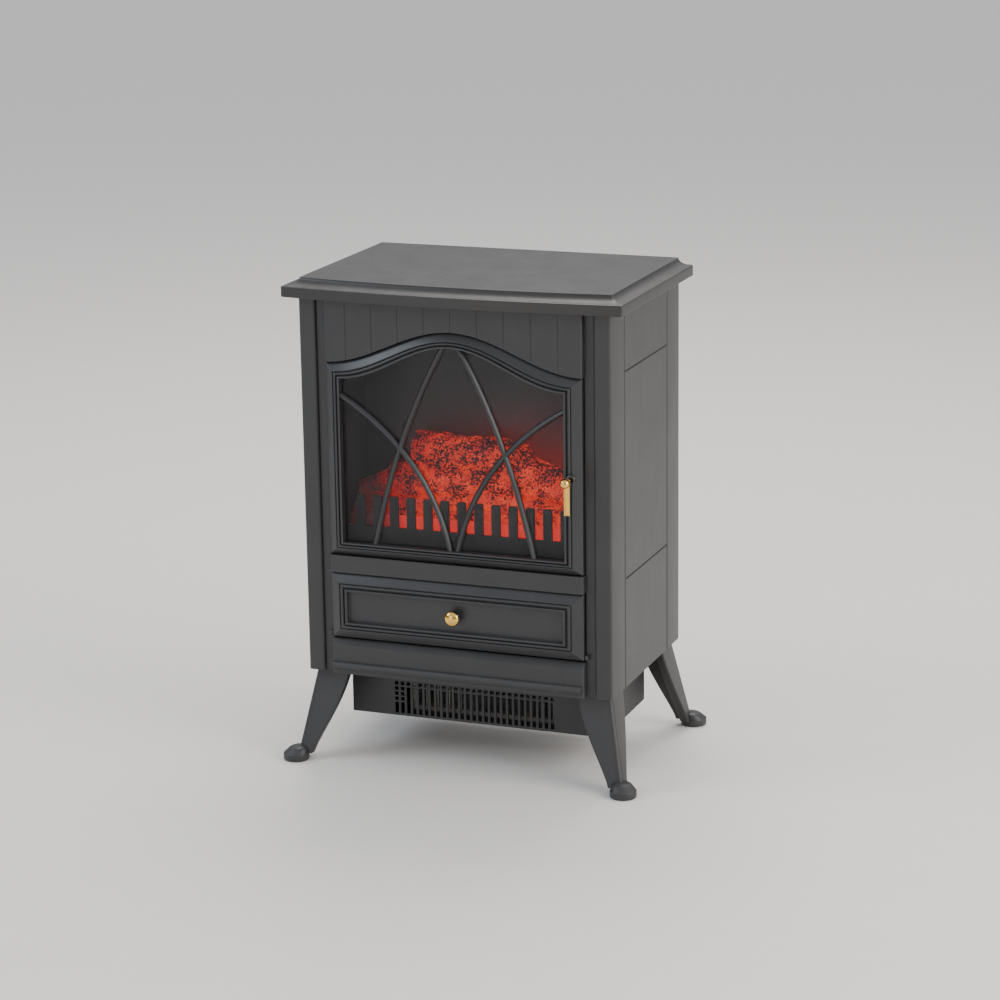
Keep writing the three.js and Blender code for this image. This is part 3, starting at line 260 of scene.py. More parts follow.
def finish(name, colour, roughness, metallic=0.0, grain=(900.0, 0.4, 0.02), marks=0.08, dust=0.0, coat=0.0,
           tone=0.15):
    """A Principled finish with mottled colour, marks in its gloss, dust, and grain in its relief.

    grain is (scale, swell, height in mm); tone is how far the colour wanders about its own value.
    """
    material = bpy.data.materials.new(name)
    material.use_nodes = True
    tree = material.node_tree
    shader = tree.nodes["Principled BSDF"]
    place = tree.nodes.new("ShaderNodeTexCoord")
    mottle = noise(tree, place.outputs["Object"], 22.0, 4.0, 0.6)
    shades = [[c * k for c in colour] + [1] for k in (1 - tone, 1 + tone)]
    body = blended(tree, mottle, *shades)
    if dust:
        mask = node(tree, "ShaderNodeGroup", node_tree=bpy.data.node_groups["settled_dust"])
        tree.links.new(place.outputs["Object"], mask.inputs["Vector"])
        tree.links.new(place.outputs["Normal"], mask.inputs["Normal"])
        mask.inputs["Amount"].default_value = dust
        body = blended(tree, mask.outputs["Mask"], body, DUST_COLOUR)
    gloss = node(tree, "ShaderNodeGroup", node_tree=bpy.data.node_groups["handling_marks"])
    tree.links.new(place.outputs["Object"], gloss.inputs["Vector"])
    gloss.inputs["Roughness"].default_value, gloss.inputs["Spread"].default_value = roughness, marks
    relief = node(tree, "ShaderNodeGroup", node_tree=bpy.data.node_groups["surface_grain"])
    tree.links.new(place.outputs["Object"], relief.inputs["Vector"])
    relief.inputs["Scale"].default_value, relief.inputs["Swell"].default_value = grain[:2]
    bump = node(tree, "ShaderNodeBump", {"Height": relief.outputs["Height"], "Strength": 1.0,
                                         "Distance": grain[2] * MM})
    tree.links.new(body, shader.inputs["Base Color"])
    tree.links.new(gloss.outputs["Roughness"], shader.inputs["Roughness"])
    tree.links.new(bump.outputs["Normal"], shader.inputs["Normal"])
    shader.inputs["Metallic"].default_value = metallic
    shader.inputs["Coat Weight"].default_value = coat
    shader.inputs["Coat Roughness"].default_value = 0.12
    return material


finishes = {
    "painted_top": finish("painted_top", (0.0245, 0.0230, 0.0215), 0.42,
                          grain=(700.0, 0.8, 0.018), dust=0.07),
    "casing_black": finish("casing_black", (0.0255, 0.0258, 0.0265), 0.44,
                           grain=(1300.0, 0.3, 0.020), dust=0.04),
    "door_black": finish("door_black", (0.024, 0.0245, 0.026), 0.36,
                         grain=(1300.0, 0.3, 0.012), dust=0.03),
    "sheet_black": finish("sheet_black", (0.026, 0.026, 0.027), 0.48, grain=(650.0, 0.9, 0.030)),
    "polished_brass": finish("polished_brass", (0.80, 0.50, 0.13), 0.11, 1.0, (300.0, 1.0, 0.003), 0.06),
    "gloss_black": finish("gloss_black", (0.018, 0.018, 0.019), 0.22, grain=(400.0, 0.6, 0.004), coat=0.4),
    "steel": finish("steel", (0.56, 0.56, 0.55), 0.32, 1.0, (800.0, 0.4, 0.008), 0.12),
    "dark_steel": finish("dark_steel", (0.030, 0.030, 0.031), 0.45, grain=(900.0, 0.4, 0.006)),
    "inner_black": finish("inner_black", (0.020, 0.020, 0.021), 0.62, grain=(600.0, 0.6, 0.030)),
    "grate_black": finish("grate_black", (0.016, 0.015, 0.015), 0.55, grain=(350.0, 1.0, 0.090), tone=0.4),
    "motor_metal": finish("motor_metal", (0.42, 0.42, 0.40), 0.42, 1.0, (700.0, 0.5, 0.012), 0.14),
    "wheel_aluminium": finish("wheel_aluminium", (0.70, 0.70, 0.71), 0.30, 1.0, (900.0, 0.4, 0.006), 0.12),
    # The ceramic's colour is darker than pale ceramic, partly its own tone and partly painted shade for the heater
    # element deep inside the outlet; the lamp holders and terminal block share this finish.
    "ceramic": finish("ceramic", (0.30, 0.28, 0.25), 0.75, grain=(420.0, 0.5, 0.050), tone=0.08),
}
print(len(finishes), "finishes")

# %% [markdown]
# ## Glass
# The door's pane and the two lamps are clear. Refracting glass would let light reach the logs only by
# bent paths, which a renderer finds by luck and shows as grit. So the pane is simply see-through, and a
# small share of a glossy dark layer on top carries its reflections and its faint smoke tint.

# %% Clear pane and lamp glass
def glass(name, tint, share):
    """See-through, with a share of a glossy tinted layer over it."""
    material = bpy.data.materials.new(name)
    material.use_nodes = True
    shader = material.node_tree.nodes["Principled BSDF"]
    shader.inputs["Base Color"].default_value = (*tint, 1)
    shader.inputs["Roughness"].default_value = 0.04
    shader.inputs["IOR"].default_value = 1.6
    shader.inputs["Alpha"].default_value = share
    return material


finishes["clear_pane"] = glass("clear_pane", (0.030, 0.030, 0.032), 0.16)
finishes["lamp_glass"] = glass("lamp_glass", (0.60, 0.50, 0.34), 0.35)

# %% [markdown]
# ## Glowing finishes
# The logs are one thin moulding of clear resin, painted in red and charcoal and lit from inside, so the
# paint's gaps glow; that inner lamp light is painted here as emission on the resin. Charcoal specks of a
# few millimetres cover the light, thickly in some patches and thinly in others, and how much lamp light
# arrives falls off towards the left end. The strip behind the grate is the same resin without the specks,
# its lamp light painted the same way, and the screen is a dark film with a painted glow near the logs,
# where their light would fall on it. The red stays almost pure: mixed with green it would turn pink when
# it is bright.

# %% Log resin
def glowing(name):
    """A material with its tree, shader and Object coordinates, ready for an emission pattern."""
    material = bpy.data.materials.new(name)
    material.use_nodes = True
    tree = material.node_tree
    place = tree.nodes.new("ShaderNodeTexCoord").outputs["Object"]
    return material, tree, tree.nodes["Principled BSDF"], place


def emits(tree, shader, colour, level, strength):
    """Light of a colour, dimmed by a level that varies over the surface."""
    dimmed = node(tree, "ShaderNodeVectorMath", {0: colour, "Scale": level}, operation="SCALE").outputs[0]
    tree.links.new(dimmed, shader.inputs["Emission Color"])
    shader.inputs["Emission Strength"].default_value = strength


log_low, log_high = extent("log_bed")
resin, tree, shader, place = glowing("log_resin")
where = node(tree, "ShaderNodeSeparateXYZ", {"Vector": place}).outputs
# Painted lamp light: emission stands in for the lamps inside the logs. It is strongest at the right and falls off
# towards the left end, and fewer charcoal specks low down let more of it show near the bed's floor.
lamp_reach = remap(tree, where["X"], -0.112, -0.035, 0.06, 1.0)
lower = remap(tree, where["Z"], float(log_low[2] + 50) * MM, float(log_high[2]) * MM, 0.10, 0.0)
speckle = noise(tree, place, 390.0, 4.0, 0.68)
broad = noise(tree, place, 52.0, 3.0, 0.6)
cover = maths(tree, "MULTIPLY_ADD", broad, 0.62, speckle)
cover = maths(tree, "SUBTRACT", cover, lower)
char = remap(tree, cover, 0.735, 0.80)
uneven = remap(tree, noise(tree, place, 90.0, 2.0), 0.3, 0.7, 0.55, 1.0)
gaps = maths(tree, "MULTIPLY_ADD", char, -0.97, 1.0)
open_glow = maths(tree, "MULTIPLY", gaps, maths(tree, "MULTIPLY", lamp_reach, uneven))
DEEP_RED, ORANGE_RED = (1.0, 0.006, 0.003, 1), (1.0, 0.060, 0.006, 1)
flame_red = blended(tree, remap(tree, open_glow, 0.3, 0.95), DEEP_RED, ORANGE_RED)
emits(tree, shader, flame_red, open_glow, 1.15)
paint = blended(tree, char, (0.05, 0.004, 0.003, 1), (0.014, 0.013, 0.014, 1))
tree.links.new(paint, shader.inputs["Base Color"])
tree.links.new(remap(tree, char, 0.0, 1.0, 0.45, 0.75), shader.inputs["Roughness"])
bump = node(tree, "ShaderNodeBump", {"Height": maths(tree, "ADD", char, noise(tree, place, 500.0, 4.0)),
                                     "Strength": 0.8, "Distance": 0.6 * MM})
tree.links.new(bump.outputs["Normal"], shader.inputs["Normal"])
finishes["log_resin"] = resin

# %% Ember strip and flame screen
ember, tree, shader, place = glowing("ember_resin")
across = node(tree, "ShaderNodeSeparateXYZ", {"Vector": place}).outputs
# Painted lamp light: the strip's glow is emission standing in for the lamps behind it. It is dim at the left end and
# full further right, with some random wander.
near_end = remap(tree, across["X"], -0.106, -0.086, 0.03, 0.30)
strength = maths(tree, "MULTIPLY_ADD", remap(tree, across["X"], -0.088, -0.064), 0.70, near_end)
wander = remap(tree, noise(tree, place, 34.0, 2.0), 0.3, 0.7, 0.80, 1.0)
strength = maths(tree, "MULTIPLY", strength, wander)
colour = blended(tree, strength, (1.0, 0.004, 0.004, 1), (1.0, 0.022, 0.008, 1))
emits(tree, shader, colour, strength, 0.95)
shader.inputs["Base Color"].default_value = (0.06, 0.004, 0.003, 1)
tree.links.new(remap(tree, noise(tree, place, 200.0), 0.0, 1.0, 0.30, 0.50), shader.inputs["Roughness"])
finishes["ember_resin"] = ember

film, tree, shader, place = glowing("flame_film")
across = node(tree, "ShaderNodeSeparateXYZ", {"Vector": place}).outputs
# Painted light: the screen's red glow is emission standing in for the logs' light falling on it. It is strongest
# just above the logs and towards the right, fades with height, and is broken by soft upright streaks.
rise = remap(tree, across["Z"], float(log_high[2] - 30) * MM, float(log_high[2] + 62) * MM, 1.0, 0.0)
over_logs = remap(tree, across["X"], -0.10, 0.06, 0.0, 1.0)
falloff = maths(tree, "MULTIPLY", maths(tree, "POWER", rise, 2.2), over_logs)
stretched = node(tree, "ShaderNodeMapping", {"Vector": place, "Scale": (1.0, 1.0, 0.35)}).outputs[0]
lick = remap(tree, noise(tree, stretched, 18.0, 1.0), 0.3, 0.7, 0.85, 1.1)
emits(tree, shader, (1.0, 0.05, 0.04), maths(tree, "MULTIPLY", falloff, lick), 0.16)
shader.inputs["Base Color"].default_value = (0.030, 0.028, 0.028, 1)
tree.links.new(remap(tree, noise(tree, place, 90.0), 0.0, 1.0, 0.40, 0.50), shader.inputs["Roughness"])
finishes["flame_film"] = film
print(len(finishes), "finishes with the glowing ones")

# %% [markdown]
# ## Every CAD piece gets its finish
# The record says which finish each CAD piece has, and the frame carries the same names. Pieces that are
# built again below are hidden later, and the rest, such as the motor or the switches, stay as they are.

# %% Finishes on the CAD pieces
for part in frame["record"]["subparts"]:
    mesh = frame["nodes"][part["node"]].data
    mesh.materials.clear()
    mesh.materials.append(finishes[part["material_slot"]])
slot_of = {part["node"]: part["material_slot"] for part in frame["record"]["subparts"]}

# %% [markdown]
# ## From arrays of points to pieces
# A new piece is a grid of points: rows follow one parameter and columns the other. The faces between
# them are the same pattern every time, so they are worked out by index arithmetic. Doubled points are
# merged and the faces turned outwards, which makes the result one closed skin.

# %% Skins
def skin(points, row_loop=False, column_loop=True, ends=True):
    """Points (rows, columns, 3) to (points, faces): a quad between each point and its next row and column.

    row_loop or column_loop joins the last to the first; ends closes the first and last row with one face.
    """
    rows, columns = points.shape[:2]
    r = np.arange(rows if row_loop else rows - 1)[:, None]
    c = np.arange(columns if column_loop else columns - 1)
    r_next, c_next = (r + 1) % rows, (c + 1) % columns
    here, following = r * columns, r_next * columns
    quads = np.stack([here + c, here + c_next, following + c_next, following + c], -1)
    faces = quads.reshape(-1, 4).tolist()
    if ends and not row_loop:
        faces += [list(range(columns))[::-1], list(range((rows - 1) * columns, rows * columns))]
    return points.reshape(-1, 3), faces


def together(*skins):
    """Several skins as one."""
    counts = np.cumsum([0] + [len(p) for p, _ in skins[:-1]])
    return (np.concatenate([p for p, _ in skins]),
            [[i + int(offset) for i in face] for (_, faces), offset in zip(skins, counts) for face in faces])


def settle(piece, slot, body, nodes=()):
    """Gives a piece its finish, the body it moves with, and the CAD pieces that it stands for."""
    piece.data.materials.clear()
    piece.data.materials.append(finishes[slot])
    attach(piece, body)
    if nodes:
        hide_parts(*nodes)
    return piece


def make_piece(name, shell, slot, body, nodes=(), crease=32):
    """A skin in millimetres becomes an object in metres, smooth except along edges sharper than crease."""
    points, faces = shell
    mesh = bpy.data.meshes.new(name)
    mesh.from_pydata((np.asarray(points) * MM).tolist(), [], faces)
    work = bmesh.new()
    work.from_mesh(mesh)
    bmesh.ops.remove_doubles(work, verts=work.verts, dist=1e-6)
    bmesh.ops.recalc_face_normals(work, faces=work.faces)
    work.to_mesh(mesh)
    work.free()
    mesh.shade_smooth()
    mesh.set_sharp_from_angle(angle=math.radians(crease))
    piece = bpy.data.objects.new(name, mesh)
    bpy.context.scene.collection.objects.link(piece)
    settle(piece, slot, body, nodes)
    print(name, len(mesh.polygons), "faces")
    return piece


# %% [markdown]
# ## Straight mouldings and sheet parts
# The front, the sides, the back, the flap's tray and the metal box are right as the CAD has them, apart
# from their edges: a real moulding has no knife edges, and the thin bright lines along the edges are half
# of what the eye sees on a black object. So each is copied, its triangles are joined into whole faces,
# and a Bevel modifier rounds the edges. Building them again by hand would risk losing a hole.

# %% Copies with softened edges
def softened(name, source, edge, limit=34):
    """A merged copy of a CAD piece whose edges over limit degrees are rounded by edge, in millimetres."""
    cad = frame["nodes"][source].data
    points = np.empty(3 * len(cad.vertices), np.float32)
    corners = np.empty(len(cad.loops), np.int32)
    cad.vertices.foreach_get("co", points)
    cad.loops.foreach_get("vertex_index", corners)
    mesh = bpy.data.meshes.new(name)
    mesh.from_pydata(points.reshape(-1, 3).tolist(), [], corners.reshape(-1, 3).tolist())
    work = bmesh.new()
    work.from_mesh(mesh)
    bmesh.ops.remove_doubles(work, verts=work.verts, dist=2e-6)
    bmesh.ops.dissolve_limit(work, angle_limit=math.radians(0.6), verts=work.verts, edges=work.edges)
    work.to_mesh(mesh)
    work.free()
    mesh.shade_smooth()
    piece = bpy.data.objects.new(name, mesh)
    bpy.context.scene.collection.objects.link(piece)
    bevel = piece.modifiers.new("soft_edges", "BEVEL")
    bevel.width, bevel.segments, bevel.limit_method = edge * MM, 2, "ANGLE"
    bevel.angle_limit, bevel.harden_normals, bevel.use_clamp_overlap = math.radians(limit), True, True
    body = frame["nodes"][source]["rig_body"]
    return settle(piece, slot_of[source], body, [source])


softened("front_moulding", "front_frame", 0.5, limit=18)  # its board's grooves are only 28 degrees steep
for name, source, edge in (
    ("left_side", "side_panel_left", 0.4),
    ("right_side", "side_panel_right", 0.4),
    ("back_moulding", "rear_shell", 0.5),
    ("bottom_plate", "base_plate", 0.4),
    ("heater_box", "heater_housing", 0.35),
    ("outlet_plate", "outlet_grille", 0.25),
    ("control_tray", "control_panel", 0.5),
    ("recess", "fire_liner", 0.3),
    ("flame_key_cap", "flame_rocker", 0.8),
    ("low_heat_key_cap", "low_heat_rocker", 0.8),
    ("high_heat_key_cap", "high_heat_rocker", 0.8),
    ("fire_grate", "grate", 0.7),
    ("knob_strap", "door_strap", 0.22),
    ("screen", "flame_screen", 0.2),
    ("magnet", "door_magnet", 0.4),
    ("catch_plate", "door_catch_plate", 0.2),
):
    softened(name, source, edge)
print("softened copies made")

# %% [markdown]
# ## Rounded paths
# Mouldings, legs and knobs are all a section carried along a line, and a section is easiest to write as
# a few corners. This helper swaps every corner for a small curve. It works on a whole stack of sections
# at once, so a leg that changes from top to bottom needs no loop.

# %% Rounded paths
def rounded_path(corners, reach, steps=6):
    """Swaps each corner C for the curve (1-t)^2 A + 2t(1-t) C + t^2 B.

    A and B lie on the corner's two sides, reach away. corners is (..., n, 2) and closed. reach, one for
    each corner, is held under 0.45 of either side.
    """
    corners = np.asarray(corners, float)
    t = np.linspace(0, 1, steps)[:, None]

    def along(other):
        side = other - corners
        length = np.linalg.norm(side, axis=-1, keepdims=True)
        return corners + side / length * np.minimum(np.asarray(reach, float)[:, None], 0.45 * length)

    a, b = along(np.roll(corners, 1, -2)), along(np.roll(corners, -1, -2))
    path = (1 - t) ** 2 * a[..., None, :] + 2 * t * (1 - t) * corners[..., None, :] + t**2 * b[..., None, :]
    return path.reshape(*corners.shape[:-2], -1, 2)


def open_rounded(corners, reach, steps=6):
    """The same for an open line, whose two ends stay where they are."""
    path = rounded_path(corners, np.asarray(reach, float) * ([0] + [1] * (len(corners) - 2) + [0]), steps)
    return np.concatenate([path[steps - 1:-steps], path[-1:]])


# %% [markdown]
# ## The top
# A routed board: an upright band, a rounded nose, a hollow cove, then the flat top. The front edge swells
# forwards in a long bow and the other three are straight. The profile is carried round the outline, and
# each step inwards shrinks the outline by the same inset, which is what a router does.

# %% Top slab
SLAB_BOW = 12.0
slab_low, slab_high = extent("top_slab")


def slab_outline(inset, corner=2.2, arc=64):
    """Outlines (levels, n, 2): front y = f + inset - bow (1 - t^2) for t from -1 to 1.

    The sides and the back are straight. Every corner is rounded by the same small curve, so the nose
    turns it without a crack.
    """
    half, front = slab_high[0] - inset, slab_low[1] + SLAB_BOW + inset
    back = slab_high[1] - 0.25 * inset
    t = np.linspace(-1, 1, arc)[None, 1:-1]
    front_arc = np.stack([half * t, front - SLAB_BOW * (1 - t * t)], -1)
    turn = np.linspace(0, 1, 7)
    slope = 2 * SLAB_BOW / half  # dy/dx of the bow where it meets the side

    def corner_curve(x, y, start, end):
        point = np.stack([x, y], -1)[:, None]
        weight_start, weight_end = ((1 - turn) ** 2)[:, None], (turn**2)[:, None]
        return point + corner * (weight_start * start[..., None, :] + weight_end * end[..., None, :])

    flat = lambda x, y: np.broadcast_to(np.array([x, y], float), (len(inset), 2))
    along_bow = np.concatenate([np.ones_like(slope), slope], -1)
    x, f, b = half[:, 0], front[:, 0], back[:, 0]
    return np.concatenate([
        front_arc,
        corner_curve(x, f, -along_bow, flat(0, 1)),
        corner_curve(x, b, flat(0, -1), flat(-1, 0)),
        corner_curve(-x, b, flat(1, 0), flat(0, -1)),
        corner_curve(-x, f, flat(0, 1), np.stack([along_bow[:, 0], -along_bow[:, 1]], -1)),
    ], 1)


SLAB_BAND, SLAB_COVE, NOSE = 11.4, 15.4, 1.6
thickness = slab_high[2] - slab_low[2]
turn = np.linspace(0, np.pi / 2, 15)[1:-1]
cove_base = SLAB_BAND + NOSE / 2 - 0.3
profile = np.concatenate([
    open_rounded([[1.5, 0], [0, 0], [0, SLAB_BAND], [NOSE, cove_base]], [0, 0.9, 1.3, 0]),
    np.stack([NOSE + (SLAB_COVE - NOSE) * np.sin(turn),
              cove_base + (thickness - cove_base) * (1 - np.cos(turn))], -1),
    open_rounded([[SLAB_COVE, thickness - 1.2], [SLAB_COVE, thickness], [SLAB_COVE + 1.2, thickness]],
                 [0, 0.55, 0]),
])
outline = slab_outline(profile[:, :1])
levels = np.broadcast_to((slab_low[2] + profile[:, 1])[:, None, None], (*outline.shape[:2], 1))
make_piece("top", skin(np.concatenate([outline, levels], -1)), "painted_top", "casing", ["top_slab"],
           crease=40)

# %% [markdown]
# ## The door frame
# One moulding goes all round: a broad sloping band, a groove, a round bead, another groove and a raised
# lip that hides the lattice's rim. The stiles are a little wider than the rails, so the profile is given
# in shares of the member's width, and the arch keeps its shape from the outer edge to the inner one.

# %% Mitred loops
def mitred_loops(half, low, high, arch=None, reach=0.5, arc=96):
    """Loops (levels, n, 2) in the door's plane, one for each row of half, low and high.

    A rectangle with corners rounded by reach; its top is high + arch (1 + cos(pi s)) / 2 for s = x / half.
    """
    t = np.linspace(0, 1, 6)[:, None]
    directions = {"up": (0, 1), "down": (0, -1), "left": (-1, 0), "right": (1, 0)}

    def corner(x, z, start, end):
        bend = reach * ((1 - t) ** 2 * np.array(directions[start]) + t**2 * np.array(directions[end]))
        return np.stack([x, z], -1) + bend

    pieces = [corner(-half, low, "up", "right"), corner(half, low, "left", "up"),
              corner(half, high, "down", "left")]
    if arch is not None:
        s = np.linspace(1, -1, arc)[None, 1:-1]
        pieces.append(np.stack([half * s, high + arch * (1 + np.cos(np.pi * s)) / 2], -1))
    pieces.append(corner(-half, high, "right", "down"))
    return np.concatenate(pieces, 1)


def upright(loops, y):
    """Loops (levels, n, 2) in x and z, each put at its own y."""
    return np.concatenate([loops[..., :1], np.broadcast_to(y[:, None, None], (*loops.shape[:2], 1)),
                           loops[..., 1:]], -1)


# The moulding's section: share of the width from the outer edge, and height in front of that edge.
bead_turn = np.linspace(0.12 * np.pi, 0.88 * np.pi, 14)
MOULDING = np.concatenate([
    open_rounded([[0, -1], [0, 0], [8.5, 6.2], [9.4, 6.2], [9.9, 4.9], [10.2, 5.3]],
                 [0, 0.45, 0.6, 0.25, 0.2, 0]),
    np.stack([11.8 - 1.75 * np.cos(bead_turn), 4.9 + 2.7 * np.sin(bead_turn)], -1),
    open_rounded([[13.5, 5.4], [13.8, 5.0], [14.3, 5.2], [14.75, 8.0], [17.0, 8.0], [17.0, 5.0]],
                 [0, 0.2, 0.3, 0.45, 0.5, 0]),
]) / [17.0, 1.0]
print("moulding profile of", len(MOULDING), "points")

# %% Door frame
STILE, RAIL, DOOR_ARCH, LIP_BACK, REBATE = 18.4, 15.2, 39.8, -4.6, 0.80
DOOR_THICKNESS, LIP_PROUD, FIT_GAP = 6.0, 8.0, 0.3
door_low, door_high = extent("door_frame")
door_half, door_bottom, door_shoulder = door_high[0], door_low[2], door_high[2] - DOOR_ARCH
door_edge = door_high[1] - DOOR_THICKNESS  # the plane of the outer edge


def door_loops(share):
    """The arch at shares of the moulding's width."""
    share = np.asarray(share, float)[:, None]
    return mitred_loops(door_half - share * STILE, door_bottom + share * RAIL,
                        door_shoulder - share * RAIL, DOOR_ARCH)


behind = np.array([[1.0, -LIP_BACK], [REBATE, -LIP_BACK], [REBATE, -5.4],
                   [REBATE - 0.03, -DOOR_THICKNESS], [0.03, -DOOR_THICKNESS], [0, -5.4]])
section = np.concatenate([MOULDING, behind])
door_points = upright(door_loops(section[:, 0]), door_edge - section[:, 1])
make_piece("door_moulding", skin(door_points, row_loop=True), "door_black", "door", ["door_frame"])

# %% [markdown]
# ## The lattice
# Four curved bars cross in front of the fire. Each is half round with a soft ridge, and follows a
# quadratic curve: two long bars run from near the top's middle to the lower rail, and two short ones
# from the stiles to the middle of the lower rail. A section carried along a curve needs only the
# curve's tangent, because the bars stay in one plane.

# %% Lattice
BAR_WIDTH, BAR_DEPTH = 6.5, 4.6
lattice_back = extent("door_lattice")[1][1]
half_bar = BAR_WIDTH / 2
BAR_SECTION = rounded_path([[-half_bar, 0], [half_bar, 0], [half_bar, 1.7], [1.0, BAR_DEPTH],
                            [-1.0, BAR_DEPTH], [-half_bar, 1.7]], [0.3, 0.3, 0.9, 1.1, 1.1, 0.9])


def lattice_bar(start, knee, end, steps=60):
    """The section carried along P(t) = (1-t)^2 start + 2t(1-t) knee + t^2 end, square to its tangent."""
    start, knee, end = (np.array(p, float) for p in (start, knee, end))
    t = np.linspace(0, 1, steps)[:, None]
    line = (1 - t) ** 2 * start + 2 * t * (1 - t) * knee + t**2 * end
    tangent = 2 * (1 - t) * (knee - start) + 2 * t * (end - knee)
    tangent /= np.linalg.norm(tangent, axis=1, keepdims=True)
    across, rise = BAR_SECTION[:, 0], BAR_SECTION[:, 1]
    x = line[:, :1] - tangent[:, 1:] * across
    z = line[:, 1:] + tangent[:, :1] * across
    return skin(np.stack([x, np.broadcast_to(lattice_back - rise, x.shape), z], -1))


under_lip = 0.9
foot = door_bottom + RAIL * under_lip
crown = door_shoulder + DOOR_ARCH - RAIL * under_lip
bars = []
for side in (-1, 1):
    bars.append(lattice_bar((side * 91, foot), (side * 64, door_bottom + 139), (side * 9, crown - 1.5)))
    bars.append(lattice_bar((side * (door_half - STILE * under_lip), door_bottom + 178),
                            (side * 27, door_bottom + 120), (side * 4, foot)))
rim = np.array([[0.83, 0.2], [0.83, 2.8], [1.02, 2.8], [1.02, 0.2]])
bars.append(skin(upright(door_loops(rim[:, 0]), lattice_back - rim[:, 1]), row_loop=True))
make_piece("lattice", together(*bars), "door_black", "door", ["door_lattice"], crease=38)

# %% [markdown]
# ## The drop flap
# It looks like a drawer front: the door's moulding round a sunk flat panel. It is the same set of loops
# without the arch, closed by the flat panel, so both mouldings match where they catch the light.

# %% Flap
FLAP_SIDE, FLAP_RAIL, PANEL_PROUD = 21.0, 19.0, 2.6
flap_low, flap_high = extent("control_flap")
flap_section = np.concatenate([[[0.04, -DOOR_THICKNESS], [0, -5.4]], MOULDING[:-6],
                               [[0.985, 7.9], [1.0, 7.4], [1.01, 3.1],
                                [1.03, PANEL_PROUD], [1.12, PANEL_PROUD]]])
share = flap_section[:, :1]
flap_loops = mitred_loops(flap_high[0] - share * FLAP_SIDE, flap_low[2] + share * FLAP_RAIL,
                          flap_high[2] - share * FLAP_RAIL)
make_piece("flap_moulding", skin(upright(flap_loops, door_edge - flap_section[:, 1])),
           "door_black", "flap", ["control_flap"])

# %% [markdown]
# ## Turned pieces
# Knobs, collars and bushes are turned on a lathe, so each is a profile swung round a line: radius against
# distance. All of them here point forwards or backwards, along Y.

# %% Turned pieces
def turned(profile, centre, facing=-1, sides=64, bored=False):
    """Profile (n, 2) of radius and distance, swung round a line through centre that runs along Y.

    bored is for a closed profile, which leaves a hole along the line.
    """
    profile = np.asarray(profile, float)
    angle = np.linspace(0, 2 * np.pi, sides, endpoint=False)
    radius, along = profile[:, :1], np.broadcast_to(profile[:, 1:], (len(profile), sides))
    points = np.stack([centre[0] + radius * np.cos(angle), centre[1] + facing * along,
                       centre[2] + radius * np.sin(angle)], -1)
    return skin(points, row_loop=bored)


knob_low, knob_high = extent("flap_knob")
knob_centre = ((knob_low[0] + knob_high[0]) / 2, knob_high[1], (knob_low[2] + knob_high[2]) / 2)
flap_knob_radius = (knob_high[0] - knob_low[0]) / 2
dome_turn = np.linspace(0, np.pi / 2, 14)
dome = np.stack([flap_knob_radius * np.cos(dome_turn), 2.9 + 5.1 * np.sin(dome_turn)], -1)
underside = open_rounded([[0, 0], [5.2, 0], [7.4, 1.2], [flap_knob_radius, 2.6]], [0, 0.8, 1.2, 0])
make_piece("flap_knob_cap", turned(np.concatenate([underside, dome]), knob_centre), "polished_brass", "flap",
           ["flap_knob"])

neck_low, neck_high = extent("flap_knob_neck")
neck_front = door_edge - PANEL_PROUD - FIT_GAP
neck_length = neck_front - neck_low[1]
neck = open_rounded([[0, -4], [3, -4], [3, 0], [5.2, 0], [5.2, 1.5], [3.8, 2.6], [3.6, neck_length - 0.6],
                     [4.4, neck_length], [0, neck_length]], [0, 0.2, 0.2, 0.5, 0.6, 0.8, 0.5, 0.2, 0])
make_piece("flap_knob_post", turned(neck, (knob_centre[0], neck_front, knob_centre[2])),
           "gloss_black", "flap", ["flap_knob_neck"])

# %% Door knob
ball_low, ball_high = extent("door_knob")
boss_low, boss_high = extent("door_knob_boss")
ball_radius = (ball_high[0] - ball_low[0]) / 2
ball_centre = ((ball_low[0] + ball_high[0]) / 2, ball_low[1] + ball_radius, (ball_low[2] + ball_high[2]) / 2)
neck_end = ball_high[1] - ball_centre[1]
ball_turn = np.linspace(np.arcsin(2.0 / ball_radius), np.pi, 40)
ball = np.stack([ball_radius * np.sin(ball_turn), -ball_radius * np.cos(ball_turn)], -1)
stalk = open_rounded([[0, -neck_end], [1.8, -neck_end], [1.8, -8.6], [2.9, -8.2], [2.9, -7.2], [1.9, -6.6],
                      [2.0, -ball_radius * math.cos(ball_turn[0])]], [0, 0.2, 0.3, 0.4, 0.4, 0.5, 0])
make_piece("door_ball", turned(np.concatenate([stalk, ball]), ball_centre), "polished_brass", "door",
           ["door_knob"])

boss_front = door_edge - LIP_PROUD - FIT_GAP
boss_length = boss_front - boss_low[1]
boss_radius = (boss_high[0] - boss_low[0]) / 2
boss = open_rounded([[2.2, 0], [2.2, -10], [3, -10], [3, 0], [boss_radius, 0],
                     [boss_radius, boss_length * 0.6], [boss_radius - 1, boss_length], [2.2, boss_length], [2.2, 0]],
                    [0, 0.1, 0.1, 0.1, 0.5, 0.7, 0.5, 0.2, 0])
make_piece("door_knob_collar", turned(boss, (ball_centre[0], boss_front, ball_centre[2])),
           "gloss_black", "door", ["door_knob_boss"])

# %% [markdown]
# ## The legs
# Each leg is a corner angle that narrows towards the ankle while it splays outwards, and stands on a
# round hoof: a low rim, then a top that slopes up and leans in to the ankle. The section is written at
# every height at once and skinned from ankle to top.
# The four legs are one leg mirrored, with the faces turned outwards again after the mirroring.

